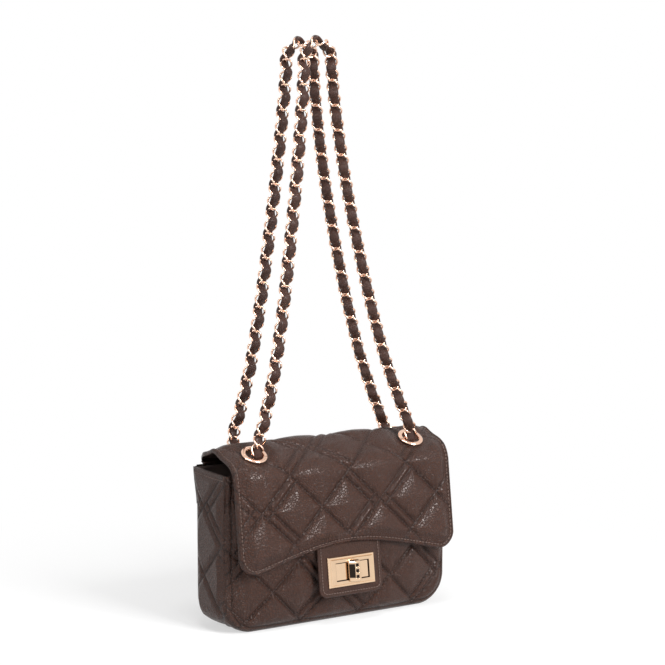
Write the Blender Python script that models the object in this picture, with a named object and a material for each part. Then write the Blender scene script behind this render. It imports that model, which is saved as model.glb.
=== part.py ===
# Small quilted shoulder bag with a turn lock and two woven chain loops
# Units are metres, +Z is up, the front of the bag faces -Y

import bpy
import bmesh
from math import sin, cos, acos, atan2, pi, sqrt, radians
from mathutils import Vector, Matrix

# Whole bag
BAG_WIDTH = 0.200
BODY_HEIGHT = 0.122
LOWER_DEPTH = 0.0430
MOUTH_FRONT = 0.0240
MOUTH_BACK = 0.0265
FLARE_START = 0.0920
BOTTOM_CORNER_RADIUS = 0.024
TOUCH_GAP = 0.0003
CUT_OVERRUN = 0.004

# Leather, board and lining
PANEL_THICKNESS = 0.0025
PANEL_CROWN = 0.0090
GUSSET_THICKNESS = 0.0020
LINING_THICKNESS = 0.0008
BASE_BOARD_THICKNESS = 0.0015
BASE_BOARD_EDGE_CLEARANCE = 0.0012

# Flap
FLAP_SIDE_INSET = 0.0030
FLAP_WIDTH = BAG_WIDTH - 2 * FLAP_SIDE_INSET
FLAP_THICKNESS = 0.0030
FLAP_LINING_THICKNESS = 0.0010
FLAP_LINING_INSET = 0.0015
FLAP_CORNER_RADIUS = 0.014
FLAP_EYELET_SLOPE = radians(28)
FLAP_CREST_RADIUS = 0.014
FLAP_EYELET_FLAT = 0.0225
FLAP_FRONT_RADIUS = 0.016
FLAP_BACK_RADIUS = 0.0055
FLAP_CENTRE_BOTTOM = 0.0640
FLAP_SIDE_BOTTOM = 0.0490

# Chain
WIRE = 0.0016
LINK_WIDTH = 0.0104
LINK_PITCH = 0.0094
LINK_PLAY = 0.0012
WIRE_RIDGE = 0.00095
LACE_WIDTH = 0.0026
LACE_THICKNESS = 0.0010
STRAP_TOP = 0.4440
STRAP_TOP_BEND = 0.0120
STRAP_TOP_SPREAD = 0.026
STRAP_LEAN_LEFT = 0.0125
EYELET_TO_FLAP_END = 0.026
EYELET_SPACING_X = FLAP_WIDTH - 2 * EYELET_TO_FLAP_END
CHAIN_REST = 0.0015
PIVOT_ABOVE_EYELET = 0.0085

# Eyelets
EYELET_OUTER = 0.0206
EYELET_HOLE = 0.0138
EYELET_BARREL_WALL = 0.0006
EYELET_BEAD = 0.0017
EYELET_WASHER_THICKNESS = 0.0006
EYELET_CLEARANCE = 0.0003

# Turn lock
LOCK_FRAME_WIDTH = 0.0416
LOCK_FRAME_HEIGHT = 0.0238
LOCK_FRAME_THICKNESS = 0.0032
LOCK_FRAME_STEP = 0.0012
LOCK_SLOT_WIDTH = 0.0300
LOCK_SLOT_HEIGHT = 0.0142
LOCK_CENTRE_HEIGHT = 0.0425
LOCK_STANDOFF = 0.011334
LOCK_BACK_PLATE_THICKNESS = 0.0008
LOCK_BASE_MARGIN = 0.0018
LOCK_PLATFORM_CLEARANCE = 0.0008
LOCK_POST_DIAMETER = 0.0050
KNOB_LENGTH = 0.0190
KNOB_WIDTH = 0.0082
KNOB_THICKNESS = 0.0056
LOCK_SCREW_HEAD = 0.0030
LOCK_SCREW_SHANK = 0.0014

# Tab that carries the lock frame
TAB_SIDE_MARGIN = 0.00895
TAB_WIDTH = LOCK_FRAME_WIDTH + 2 * TAB_SIDE_MARGIN
TAB_TOP = 0.0720
TAB_BOTTOM = 0.0215
TAB_THICKNESS = 0.0016
TAB_BACKING_THICKNESS = 0.0008
TAB_CORNER_RADIUS = 0.0070

# Inner zip pocket
POCKET_SLIT_WIDTH = 0.100
POCKET_SLIT_HEIGHT = 0.0080
POCKET_SLIT_CENTRE = 0.0800
POCKET_DROP = 0.0430
POCKET_ROOM = 0.0042
POCKET_CLOTH = 0.0005
ZIP_TAPE_WIDTH = 0.0058
ZIP_TAPE_THICKNESS = 0.0005
ZIP_TOOTH_PITCH = 0.0070
ZIP_TOOTH_LENGTH = 0.0022
ZIP_TOOTH_SHARE = 0.62
ZIP_SLIDER_LENGTH = 0.0090
ZIP_SLIDER_WIDTH = 0.0070
ZIP_SLIDER_THICKNESS = 0.0028
ZIP_PULL_LENGTH = 0.0220
ZIP_PULL_WIDTH = 0.0040
ZIP_PULL_THICKNESS = 0.0014
ZIP_PULL_WALL = 0.0006
ZIP_BAR_DIAMETER = 0.0013

HALF = 0.5
ZIP_BAR_SIDES = 8
PULL_CORNER_STEPS = 3


def clear_scene():
    for thing in list(bpy.data.objects):
        bpy.data.objects.remove(thing, do_unlink=True)


def make_material(name, colour, roughness, metallic):
    material = bpy.data.materials.new(name)
    material.use_nodes = True
    shader = material.node_tree.nodes["Principled BSDF"]
    shader.inputs["Base Color"].default_value = (*colour, 1.0)
    shader.inputs["Roughness"].default_value = roughness
    shader.inputs["Metallic"].default_value = metallic
    return material


LEATHER = ((0.060, 0.032, 0.026), 0.48, 0.0)
LACE_LEATHER = ((0.052, 0.028, 0.023), 0.50, 0.0)
LINING_CLOTH = ((0.045, 0.026, 0.022), 0.85, 0.0)
ROSE_GOLD = ((0.80, 0.52, 0.36), 0.18, 1.0)
PALE_GOLD = ((0.78, 0.58, 0.42), 0.20, 1.0)
BOARD = ((0.30, 0.24, 0.18), 0.80, 0.0)
ZIP_METAL = ((0.72, 0.55, 0.42), 0.30, 1.0)


def place(name, bm, finish, parent=None, smooth=True):
    """Turn a bmesh into a named object with a material of its own."""
    bmesh.ops.recalc_face_normals(bm, faces=bm.faces)
    mesh = bpy.data.meshes.new(name)
    bm.to_mesh(mesh)
    bm.free()
    if smooth:
        mesh.shade_smooth()
        mesh.set_sharp_from_angle(angle=radians(40))
    thing = bpy.data.objects.new(name, mesh)
    bpy.context.collection.objects.link(thing)
    mesh.materials.append(make_material(name + "_finish", *finish))
    if parent is not None:
        thing.parent = parent
        thing.matrix_parent_inverse = parent.matrix_world.inverted()
    return thing


def pivot(name, location, parent=None):
    """An empty on a joint's axis."""
    empty = bpy.data.objects.new(name, None)
    bpy.context.collection.objects.link(empty)
    empty.matrix_world = Matrix.Translation(location)
    if parent is not None:
        empty.parent = parent
        empty.matrix_parent_inverse = parent.matrix_world.inverted()
        empty.matrix_world = Matrix.Translation(location)
    return empty


def sheet(name, grid, thickness, finish, parent=None):
    """A closed sheet: a grid of points whose normal side keeps its place."""
    bm = bmesh.new()
    rows = [[bm.verts.new(point) for point in row] for row in grid]
    for lower, upper in zip(rows, rows[1:]):
        for i in range(len(lower) - 1):
            bm.faces.new((lower[i], lower[i + 1], upper[i + 1], upper[i]))
    mesh = bpy.data.meshes.new(name)
    bm.to_mesh(mesh)
    bm.free()
    mesh.shade_smooth()
    thing = bpy.data.objects.new(name, mesh)
    bpy.context.collection.objects.link(thing)
    mesh.materials.append(make_material(name + "_finish", *finish))
    solidify = thing.modifiers.new("Thickness", 'SOLIDIFY')
    solidify.thickness = thickness
    solidify.offset = -1
    solidify.use_even_offset = True
    solidify.use_quality_normals = True
    if parent is not None:
        thing.parent = parent
        thing.matrix_parent_inverse = parent.matrix_world.inverted()
    return thing


def slab(name, grid, shift_y, finish):
    """A wall whose thickness runs straight along Y, so that its top edge stays level."""
    bm = bmesh.new()
    rows = [[bm.verts.new(point) for point in row] for row in grid]
    for lower, upper in zip(rows, rows[1:]):
        for i in range(len(lower) - 1):
            bm.faces.new((lower[i], lower[i + 1], upper[i + 1], upper[i]))
    pushed = bmesh.ops.extrude_face_region(bm, geom=list(bm.faces))
    moved = [v for v in pushed["geom"] if isinstance(v, bmesh.types.BMVert)]
    bmesh.ops.translate(bm, verts=moved, vec=(0, shift_y, 0))
    return place(name, bm, finish)


def prism(outline, y_front, y_back):
    """An outline in X and Z, extruded from y_front to y_back."""
    bm = bmesh.new()
    ring = [bm.verts.new((x, y_front, z)) for x, z in outline]
    face = bm.faces.new(ring)
    pushed = bmesh.ops.extrude_face_region(bm, geom=[face])
    moved = [v for v in pushed["geom"] if isinstance(v, bmesh.types.BMVert)]
    bmesh.ops.translate(bm, verts=moved, vec=(0, y_back - y_front, 0))
    return bm


def rounded_outline(x0, x1, z0, z1, lower_radius, upper_radius, steps):
    """Corner points of an upright rectangle with rounded corners."""
    corners = ((x1, z0, -1, 1, lower_radius, -HALF * pi), (x1, z1, -1, -1, upper_radius, 0),
               (x0, z1, 1, -1, upper_radius, HALF * pi), (x0, z0, 1, 1, lower_radius, pi))
    points = []
    for x, z, side_x, side_z, radius, start in corners:
        if radius == 0:
            points.append((x, z))
            continue
        for k in range(steps + 1):
            turn = start + HALF * pi * k / steps
            centre_x = x + side_x * radius
            centre_z = z + side_z * radius
            points.append((centre_x + radius * cos(turn), centre_z + radius * sin(turn)))
    return points


def box(x0, x1, y0, y1, z0, z1):
    return prism(((x0, z0), (x1, z0), (x1, z1), (x0, z1)), y0, y1)


def hide_cutter(cutter):
    cutter.hide_render = True
    cutter.display_type = 'WIRE'
    return cutter


def cut(thing, cutter):
    boolean = thing.modifiers.new("Cut", 'BOOLEAN')
    boolean.operation = 'DIFFERENCE'
    boolean.solver = 'EXACT'
    boolean.object = cutter


# Body panels, gusset, base board and lining

UPPER_ROW_SHARES = (0.25, 0.50, 0.70, 0.80, 0.90, 1.0)
PANEL_COLUMN_SHARES = (-1.0, -0.90, -0.72, -0.40, 0.0, 0.40, 0.72, 0.90, 1.0)
LINING_COLUMN_SHARES = (-1.0, 0.0, 1.0)
CROWN_POWER = 4
UPPER_CROWN_POWER = 2
CORNER_STEPS = 6
FLARE_SHARES = (1.0, 0.66, 0.33, 0.0)


def edge_depth(z, side):
    """Distance of the front (side -1) or back (side 1) sewn edge from the middle; it opens out at the mouth."""
    lower = LOWER_DEPTH * HALF
    if z <= FLARE_START:
        return lower
    share = (z - FLARE_START) / (BODY_HEIGHT - FLARE_START)
    mouth = MOUTH_BACK if side > 0 else MOUTH_FRONT
    return lower + (mouth - lower) * share ** 2 * (3 - 2 * share)


def half_width(z, inset, floor):
    """Half the width of the body's outline at a height, for an outline inset from the outside."""
    radius = BOTTOM_CORNER_RADIUS - max(inset, floor)
    side = BAG_WIDTH * HALF - inset
    rise = z - floor
    if rise >= radius:
        return side
    return side - radius + sqrt(max(radius ** 2 - (radius - rise) ** 2, 0.0))


def crown(x, z):
    """How far a padded panel stands out from its sewn edges."""
    across = min(abs(x) / half_width(max(z, TOUCH_GAP), 0.0, 0.0), 1.0)
    up = 2 * z / BODY_HEIGHT - 1
    fall = up ** UPPER_CROWN_POWER if up > 0 else up ** CROWN_POWER
    return PANEL_CROWN * (1 - across ** CROWN_POWER) * (1 - fall)


def heights(floor, top):
    """Row heights: close together round the bottom corners, then even."""
    low = [floor + (BOTTOM_CORNER_RADIUS - floor) * (1 - cos(HALF * pi * k / CORNER_STEPS))
           for k in range(CORNER_STEPS + 1)]
    high = [low[-1] + (top - low[-1]) * share for share in UPPER_ROW_SHARES]
    return low + high


def wall_grid(side, stand_off, inset, floor, top, crowned):
    """Points of a front wall (side -1) or back wall (side 1), a stand-off outside the sewn edges."""
    grid = []
    for z in heights(floor, top):
        reach = half_width(z, inset, floor)
        row = []
        for share in (PANEL_COLUMN_SHARES if crowned else LINING_COLUMN_SHARES):
            x = share * reach
            y = edge_depth(z, side) + stand_off + (crown(x, z) if crowned else 0.0)
            row.append((-side * x, side * y, z))
        grid.append(row)
    return grid


def u_path(inset, floor, top, steps):
    """Down the left side, round the bottom and up the right side, in X and Z."""
    radius = BOTTOM_CORNER_RADIUS - max(inset, floor)
    side = BAG_WIDTH * HALF - inset
    left = [(-side, FLARE_START + (top - FLARE_START) * share) for share in FLARE_SHARES]
    for k in range(steps + 1):
        turn = HALF * pi * k / steps
        left.append((-side + radius * (1 - cos(turn)), floor + radius * (1 - sin(turn))))
    bottom = [(0.0, floor)]
    right = [(-x, z) for x, z in reversed(left)]
    return left + bottom + right


def strip_grid(inset, floor, top, edge_inset):
    """The strip round the sides and bottom, as rows across the bag."""
    depth_shares = (1.0, 0.0, -1.0)
    path = u_path(inset, floor, top, CORNER_STEPS)
    return [[(x, share * (edge_depth(z, share) - edge_inset), z) for x, z in path] for share in depth_shares]


def build_body():
    outer_face = TOUCH_GAP + PANEL_THICKNESS
    slab("front_panel", wall_grid(-1, outer_face, 0.0, 0.0, BODY_HEIGHT, True), PANEL_THICKNESS, LEATHER)
    slab("back_panel", wall_grid(1, outer_face, 0.0, 0.0, BODY_HEIGHT, True), -PANEL_THICKNESS, LEATHER)
    sheet("gusset", strip_grid(0.0, 0.0, BODY_HEIGHT, 0.0), GUSSET_THICKNESS, LEATHER)

    board_floor = GUSSET_THICKNESS + TOUCH_GAP
    board_reach = BAG_WIDTH * HALF - BOTTOM_CORNER_RADIUS
    board_half = LOWER_DEPTH * HALF - BASE_BOARD_EDGE_CLEARANCE
    board = box(-board_reach, board_reach, -board_half, board_half,
                board_floor, board_floor + BASE_BOARD_THICKNESS)
    place("base_board", board, BOARD, smooth=False)

    lining_side = GUSSET_THICKNESS + TOUCH_GAP
    lining_floor = board_floor + BASE_BOARD_THICKNESS + TOUCH_GAP
    lining_top = BODY_HEIGHT - TOUCH_GAP
    strip = strip_grid(lining_side, lining_floor, lining_top, LINING_THICKNESS + TOUCH_GAP)
    sheet("lining_side_strip", strip, LINING_THICKNESS, LINING_CLOTH)
    front = wall_grid(-1, 0.0, lining_side, lining_floor, lining_top, False)
    slab("lining_front", front, LINING_THICKNESS, LINING_CLOTH)
    back = wall_grid(1, 0.0, lining_side, lining_floor, lining_top, False)
    lining_back = slab("lining_back", back, -LINING_THICKNESS, LINING_CLOTH)
    return lining_back


# Inner zip pocket in the back lining

def build_zip_pocket(lining_back):
    wall_outer = LOWER_DEPTH * HALF
    slit_low = POCKET_SLIT_CENTRE - POCKET_SLIT_HEIGHT * HALF
    slit_high = POCKET_SLIT_CENTRE + POCKET_SLIT_HEIGHT * HALF
    slit_half = POCKET_SLIT_WIDTH * HALF
    wall_inner = wall_outer - LINING_THICKNESS
    slit = box(-slit_half, slit_half, wall_inner - CUT_OVERRUN, wall_outer + CUT_OVERRUN, slit_low, slit_high)
    cut(lining_back, hide_cutter(place("pocket_slit_cutter", slit, LINING_CLOTH, smooth=False)))

    # Two tapes sewn behind the slit, each with its row of teeth; the rows stand in turn
    tape_front = wall_outer + TOUCH_GAP
    tape_back = tape_front + ZIP_TAPE_THICKNESS
    tape_reach = slit_half + ZIP_TAPE_WIDTH * HALF
    teeth_front = tape_front - ZIP_TAPE_THICKNESS * 2
    count = int((POCKET_SLIT_WIDTH - 2 * ZIP_TOOTH_PITCH) / ZIP_TOOTH_PITCH)
    tooth_half = ZIP_TOOTH_PITCH * HALF * ZIP_TOOTH_SHARE * HALF
    start = -HALF * (count - 1) * ZIP_TOOTH_PITCH
    for name, side in (("zip_tape_lower", -1), ("zip_tape_upper", 1)):
        near = POCKET_SLIT_CENTRE + side * ZIP_TOOTH_LENGTH * HALF
        far = near + side * ZIP_TAPE_WIDTH
        strip = box(-tape_reach, tape_reach, tape_front, tape_back, min(near, far), max(near, far))
        tape = place(name, strip, LINING_CLOTH, smooth=False)
        row = bmesh.new()
        for k in range(count):
            x = start + (k + side * HALF * HALF) * ZIP_TOOTH_PITCH
            tip = POCKET_SLIT_CENTRE - side * ZIP_TOOTH_LENGTH * HALF * HALF
            root = tip + side * ZIP_TOOTH_LENGTH
            merge(row, box(x - tooth_half, x + tooth_half, teeth_front, tape_back - TOUCH_GAP * HALF,
                           min(tip, root), max(tip, root)))
        join(tape, place(name + "_teeth_tool", row, ZIP_METAL, smooth=False))

    # The pocket bag: an open-topped pouch hanging behind the tapes
    pouch_front = tape_back + TOUCH_GAP
    pouch_back = pouch_front + POCKET_ROOM + 2 * POCKET_CLOTH
    pouch_top = slit_low - TOUCH_GAP
    pouch_low = pouch_top - POCKET_DROP
    pouch = place("zip_pocket_bag", box(-slit_half, slit_half, pouch_front, pouch_back, pouch_low, pouch_top),
                  LINING_CLOTH, smooth=False)
    room = box(-slit_half + POCKET_CLOTH, slit_half - POCKET_CLOTH, pouch_front + POCKET_CLOTH,
               pouch_back - POCKET_CLOTH, pouch_low + POCKET_CLOTH, pouch_top + CUT_OVERRUN)
    cut(pouch, hide_cutter(place("pocket_room_cutter", room, LINING_CLOTH, smooth=False)))

    # Slider on the room side of the teeth, with a swinging pull
    slider_back = teeth_front - TOUCH_GAP
    slider_front = slider_back - ZIP_SLIDER_THICKNESS
    slider_x = start - ZIP_TOOTH_PITCH + ZIP_SLIDER_LENGTH * HALF
    carrier = pivot("zip_slider_axis", (slider_x, slider_front, POCKET_SLIT_CENTRE))
    half_length = ZIP_SLIDER_LENGTH * HALF
    plate_thickness = ZIP_SLIDER_THICKNESS * HALF
    slider = box(slider_x - half_length, slider_x + half_length, slider_back - plate_thickness, slider_back,
                 POCKET_SLIT_CENTRE - ZIP_SLIDER_WIDTH * HALF, POCKET_SLIT_CENTRE + ZIP_SLIDER_WIDTH * HALF)
    bar_radius = ZIP_BAR_DIAMETER * HALF
    head_radius = bar_radius + TOUCH_GAP + ZIP_PULL_WALL
    body = place("zip_slider", slider, ZIP_METAL, carrier, smooth=False)
    pin_y = slider_back - plate_thickness - head_radius - TOUCH_GAP
    ears = bmesh.new()
    for side in (-1, 1):
        inner = slider_x + side * (ZIP_PULL_WIDTH * HALF + TOUCH_GAP)
        outer = inner + side * plate_thickness
        merge(ears, box(min(inner, outer), max(inner, outer), pin_y - bar_radius - TOUCH_GAP,
                        slider_back - plate_thickness * HALF, POCKET_SLIT_CENTRE - bar_radius - TOUCH_GAP,
                        POCKET_SLIT_CENTRE + bar_radius + TOUCH_GAP))
    join(body, place("zip_slider_ears_tool", ears, ZIP_METAL, smooth=False))
    reach = ZIP_PULL_WIDTH * HALF + TOUCH_GAP + plate_thickness * HALF
    pin_centre = Vector((slider_x, pin_y, POCKET_SLIT_CENTRE))
    sideways = Vector((1.0, 0.0, 0.0))
    bar = rod(pin_centre, sideways, bar_radius, -reach, reach, ZIP_BAR_SIDES)
    join(body, place("zip_slider_bar_tool", bar, ZIP_METAL, smooth=False))

    pull_axis = pivot("zip_pull_axis", pin_centre, carrier)
    pull_half = ZIP_PULL_WIDTH * HALF
    pull = prism(rounded_outline(slider_x - pull_half, slider_x + pull_half, POCKET_SLIT_CENTRE - ZIP_PULL_LENGTH,
                                 POCKET_SLIT_CENTRE, pull_half * HALF, 0, PULL_CORNER_STEPS),
                 pin_y - ZIP_PULL_THICKNESS * HALF, pin_y + ZIP_PULL_THICKNESS * HALF)
    tag = place("zip_pull", pull, ZIP_METAL, pull_axis, smooth=False)
    head = rod(pin_centre, sideways, head_radius, -pull_half, pull_half, ZIP_BAR_SIDES)
    join(tag, place("zip_pull_head_tool", head, ZIP_METAL, smooth=False))
    bore = rod(pin_centre, sideways, bar_radius + TOUCH_GAP, -pull_half - CUT_OVERRUN, pull_half + CUT_OVERRUN,
               ZIP_BAR_SIDES)
    cut(tag, hide_cutter(place("zip_pull_bore_cutter", bore, ZIP_METAL, smooth=False)))


def merge(target, source):
    """Add one bmesh's faces to another as a separate body."""
    copied = {}
    for vertex in source.verts:
        copied[vertex] = target.verts.new(vertex.co)
    for face in source.faces:
        target.faces.new([copied[vertex] for vertex in face.verts])
    source.free()


def join(thing, tool):
    """Unite a hidden tool with a piece."""
    boolean = thing.modifiers.new("Join", 'BOOLEAN')
    boolean.operation = 'UNION'
    boolean.solver = 'EXACT'
    boolean.object = hide_cutter(tool)


# Flap: an arch over the mouth with two flat slopes for the eyelets

ARC_STEPS = 4
ROLL_STEPS = 16
FLAP_WAVE_SHARE = 0.35
FLAP_TOTAL = FLAP_THICKNESS + TOUCH_GAP + FLAP_LINING_THICKNESS
ROLL_RADIUS = FLAP_TOTAL * HALF
HINGE_Z = BODY_HEIGHT + TOUCH_GAP + ROLL_RADIUS
FLAP_CREST_HEIGHT = (HINGE_Z + FLAP_CREST_RADIUS * (1 - cos(FLAP_EYELET_SLOPE))
                     + FLAP_EYELET_FLAT * sin(FLAP_EYELET_SLOPE) + FLAP_BACK_RADIUS * cos(FLAP_EYELET_SLOPE))
FRONT_ROW_SHARES = (0.5, 1.0)
FLAP_COLUMN_SHARES = (-1.0, -0.96, -0.86, -0.60, -0.35, 0.0, 0.35, 0.60, 0.86, 0.96, 1.0)


def front_bend_centre():
    """Centre (y, z) of the bend between the front eyelet slope and the flap's front."""
    reach = FLAP_CREST_RADIUS - FLAP_FRONT_RADIUS
    slope = FLAP_EYELET_SLOPE
    return (-reach * sin(slope) - FLAP_EYELET_FLAT * cos(slope),
            FLAP_CREST_HEIGHT - FLAP_CREST_RADIUS + reach * cos(slope) - FLAP_EYELET_FLAT * sin(slope))


def front_lean():
    """Lean of the flap's front that keeps the lock a standoff in front of the padded panel."""
    centre_y, centre_z = front_bend_centre()
    out = centre_y + PANEL_FACE_DEPTH + LOCK_STANDOFF
    down = LOCK_CENTRE_HEIGHT - centre_z
    return acos(FLAP_FRONT_RADIUS / sqrt(out ** 2 + down ** 2)) + atan2(down, out)


PANEL_FACE_DEPTH = edge_depth(LOCK_CENTRE_HEIGHT, -1) + TOUCH_GAP + PANEL_THICKNESS + crown(0.0, BODY_HEIGHT * HALF)
FLAP_FRONT_LEAN = front_lean()


def arch_profile():
    """Points (y, z) of the flap's outer face from the back hinge to the front bend's end."""
    slope = FLAP_EYELET_SLOPE
    crest_z = FLAP_CREST_HEIGHT - FLAP_CREST_RADIUS
    flat_y = FLAP_EYELET_FLAT * cos(slope)
    flat_z = FLAP_EYELET_FLAT * sin(slope)
    shoulder_y = FLAP_CREST_RADIUS * sin(slope)
    shoulder_z = crest_z + FLAP_CREST_RADIUS * cos(slope)
    back_y = shoulder_y + flat_y - FLAP_BACK_RADIUS * sin(slope)
    back_z = shoulder_z - flat_z - FLAP_BACK_RADIUS * cos(slope)
    front_y, front_z = front_bend_centre()
    points = []
    for k in range(ARC_STEPS + 1):
        turn = slope + (HALF * pi - slope) * (1 - k / ARC_STEPS)
        points.append((back_y + FLAP_BACK_RADIUS * sin(turn), back_z + FLAP_BACK_RADIUS * cos(turn)))
    for k in range(ARC_STEPS + 1):
        turn = slope * (1 - 2 * k / ARC_STEPS)
        points.append((FLAP_CREST_RADIUS * sin(turn), crest_z + FLAP_CREST_RADIUS * cos(turn)))
    for k in range(ARC_STEPS + 1):
        turn = slope + (HALF * pi - FLAP_FRONT_LEAN - slope) * k / ARC_STEPS
        points.append((front_y - FLAP_FRONT_RADIUS * sin(turn), front_z + FLAP_FRONT_RADIUS * cos(turn)))
    return points


ARCH = arch_profile()
FLAP_BACK_Y = ARCH[0][0]
FLAP_FRONT_Y, FLAP_FRONT_Z = ARCH[-1]
HINGE_Y = FLAP_BACK_Y - ROLL_RADIUS


def flap_bottom(x):
    """Height of the flap's lower edge: low at the sides, raised in the middle."""
    share = min(abs(x) / (FLAP_WIDTH * HALF - FLAP_CORNER_RADIUS), 1.0)
    rise = FLAP_WAVE_SHARE * HALF * (1 + cos(pi * share)) + (1 - FLAP_WAVE_SHARE) * (1 - share ** 2)
    z = FLAP_SIDE_BOTTOM + (FLAP_CENTRE_BOTTOM - FLAP_SIDE_BOTTOM) * rise
    past = abs(x) - (FLAP_WIDTH * HALF - FLAP_CORNER_RADIUS)
    if past > 0:
        z += FLAP_CORNER_RADIUS - sqrt(max(FLAP_CORNER_RADIUS ** 2 - past ** 2, 0.0))
    return z


def flap_front_y(z):
    return FLAP_FRONT_Y - (FLAP_FRONT_Z - z) * sin(FLAP_FRONT_LEAN) / cos(FLAP_FRONT_LEAN)


def flap_grid(trail, depth, inset):
    """Points of a flap layer whose outer face lies a depth inside the flap's outer face."""
    last = trail[-1]
    ahead = (flap_front_y(last[1] - FLAP_FRONT_RADIUS), last[1] - FLAP_FRONT_RADIUS)
    shifted = []
    for i, (y, z) in enumerate(trail):
        before = trail[max(i - 1, 0)]
        after = trail[i + 1] if i + 1 < len(trail) else ahead
        along = Vector((after[0] - before[0], after[1] - before[1])).normalized()
        inward = Vector((-along.y, along.x))
        shifted.append((y + inward.x * depth, z + inward.y * depth))
    columns = []
    reach = FLAP_WIDTH * HALF - inset
    for share in FLAP_COLUMN_SHARES:
        x = share * reach
        foot = flap_bottom(x * FLAP_WIDTH * HALF / reach) + inset
        column = [(x, y, z) for y, z in shifted]
        start_y, start_z = shifted[-1]
        for drop in FRONT_ROW_SHARES:
            z = start_z + (foot - start_z) * drop
            y = start_y - (start_z - z) * sin(FLAP_FRONT_LEAN) / cos(FLAP_FRONT_LEAN)
            column.append((x, y, z))
        columns.append(column)
    return columns


def eyelet_frames():
    """Centre and outward normal of the four eyelets, on the flat slopes of the arch."""
    slope = FLAP_EYELET_SLOPE
    shoulder_y = FLAP_CREST_RADIUS * sin(slope)
    shoulder_z = FLAP_CREST_HEIGHT - FLAP_CREST_RADIUS * (1 - cos(slope))
    middle = FLAP_EYELET_FLAT * HALF
    y = shoulder_y + middle * cos(slope)
    z = shoulder_z - middle * sin(slope)
    frames = {}
    for name, side_x, side_y in (("front_left", -1, -1), ("front_right", 1, -1),
                                 ("back_left", -1, 1), ("back_right", 1, 1)):
        centre = Vector((side_x * EYELET_SPACING_X * HALF, side_y * y, z))
        normal = Vector((0.0, side_y * sin(slope), cos(slope)))
        frames[name] = (centre, normal)
    return frames


def turned(profile, centre, axis, steps):
    """A closed (radius, height) profile turned about an axis through a centre."""
    bm = bmesh.new()
    side = axis.orthogonal().normalized()
    other = axis.cross(side)
    rings = []
    for k in range(steps):
        turn = 2 * pi * k / steps
        outward = side * cos(turn) + other * sin(turn)
        rings.append([bm.verts.new(centre + outward * r + axis * h) for r, h in profile])
    for ring, following in zip(rings, rings[1:] + rings[:1]):
        for i in range(len(profile)):
            j = (i + 1) % len(profile)
            bm.faces.new((ring[i], ring[j], following[j], following[i]))
    return bm


def rod(centre, axis, radius, low, high, steps):
    """A solid round bar along an axis, between two heights above a centre."""
    bm = bmesh.new()
    side = axis.orthogonal().normalized()
    other = axis.cross(side)
    ends = []
    for h in (low, high):
        ring = [bm.verts.new(centre + (side * cos(2 * pi * k / steps) + other * sin(2 * pi * k / steps)) * radius
                             + axis * h) for k in range(steps)]
        ends.append(ring)
        bm.faces.new(ring)
    for k in range(steps):
        n = (k + 1) % steps
        bm.faces.new((ends[0][k], ends[0][n], ends[1][n], ends[1][k]))
    return bm


EYELET_STEPS = 12
CUTTER_STEPS = 24


def build_flap(flap_axis):
    outer = sheet("flap_outer", flap_grid(ARCH, 0.0, 0.0), FLAP_THICKNESS, LEATHER, flap_axis)
    roll = rod(Vector((0.0, HINGE_Y, HINGE_Z)), Vector((1.0, 0.0, 0.0)), ROLL_RADIUS,
               -FLAP_WIDTH * HALF, FLAP_WIDTH * HALF, ROLL_STEPS)
    join(outer, place("flap_roll_tool", roll, LEATHER, smooth=False))
    lining = sheet("flap_lining", flap_grid(ARCH[ARC_STEPS:], FLAP_THICKNESS + TOUCH_GAP, FLAP_LINING_INSET),
                   FLAP_LINING_THICKNESS, LINING_CLOTH, flap_axis)
    hole = EYELET_HOLE * HALF
    barrel = hole + EYELET_BARREL_WALL
    rim = EYELET_OUTER * HALF
    washer_top = -FLAP_TOTAL - EYELET_CLEARANCE
    washer_low = washer_top - EYELET_WASHER_THICKNESS
    lip_top = washer_low - EYELET_CLEARANCE
    lip_low = lip_top - EYELET_BARREL_WALL
    lip = barrel + EYELET_BEAD
    bead = EYELET_BEAD
    profile = [(hole, lip_low), (hole, EYELET_CLEARANCE + bead * HALF)]
    middle = (hole + rim) * HALF
    for k in range(1, 4):
        turn = pi * k / 4
        profile.append((middle - (rim - hole) * HALF * cos(turn),
                        EYELET_CLEARANCE + bead * HALF + bead * HALF * sin(turn)))
    profile += [(rim, EYELET_CLEARANCE + bead * HALF * HALF), (rim - bead * HALF, EYELET_CLEARANCE),
                (barrel, EYELET_CLEARANCE), (barrel, lip_top), (lip, lip_top), (lip, lip_low)]
    washer_hole = barrel + EYELET_CLEARANCE
    washer = [(washer_hole, washer_low), (washer_hole, washer_top), (rim, washer_top), (rim, washer_low)]
    for name, (centre, normal) in eyelet_frames().items():
        drill = rod(centre, normal, barrel + EYELET_CLEARANCE, -FLAP_TOTAL - CUT_OVERRUN, CUT_OVERRUN, CUTTER_STEPS)
        cutter = hide_cutter(place(name + "_hole_cutter", drill, ROSE_GOLD, smooth=False))
        cut(outer, cutter)
        cut(lining, cutter)
        place(name + "_eyelet", turned(profile, centre, normal, EYELET_STEPS), ROSE_GOLD, flap_axis)
        place(name + "_eyelet_washer", turned(washer, centre, normal, EYELET_STEPS), ROSE_GOLD, flap_axis)


# Tab and turn lock, built upright and leaned with the flap's front

LOCK_ORIGIN = Vector((0.0, flap_front_y(LOCK_CENTRE_HEIGHT), LOCK_CENTRE_HEIGHT))
LEAN = Matrix.Translation(LOCK_ORIGIN) @ Matrix.Rotation(-FLAP_FRONT_LEAN, 4, 'X')
TAB_STEPS = 4
SCREW_STEPS = 10
POST_STEPS = 16


def lean(bm):
    bmesh.ops.transform(bm, matrix=LEAN, verts=bm.verts)
    return bm


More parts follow.
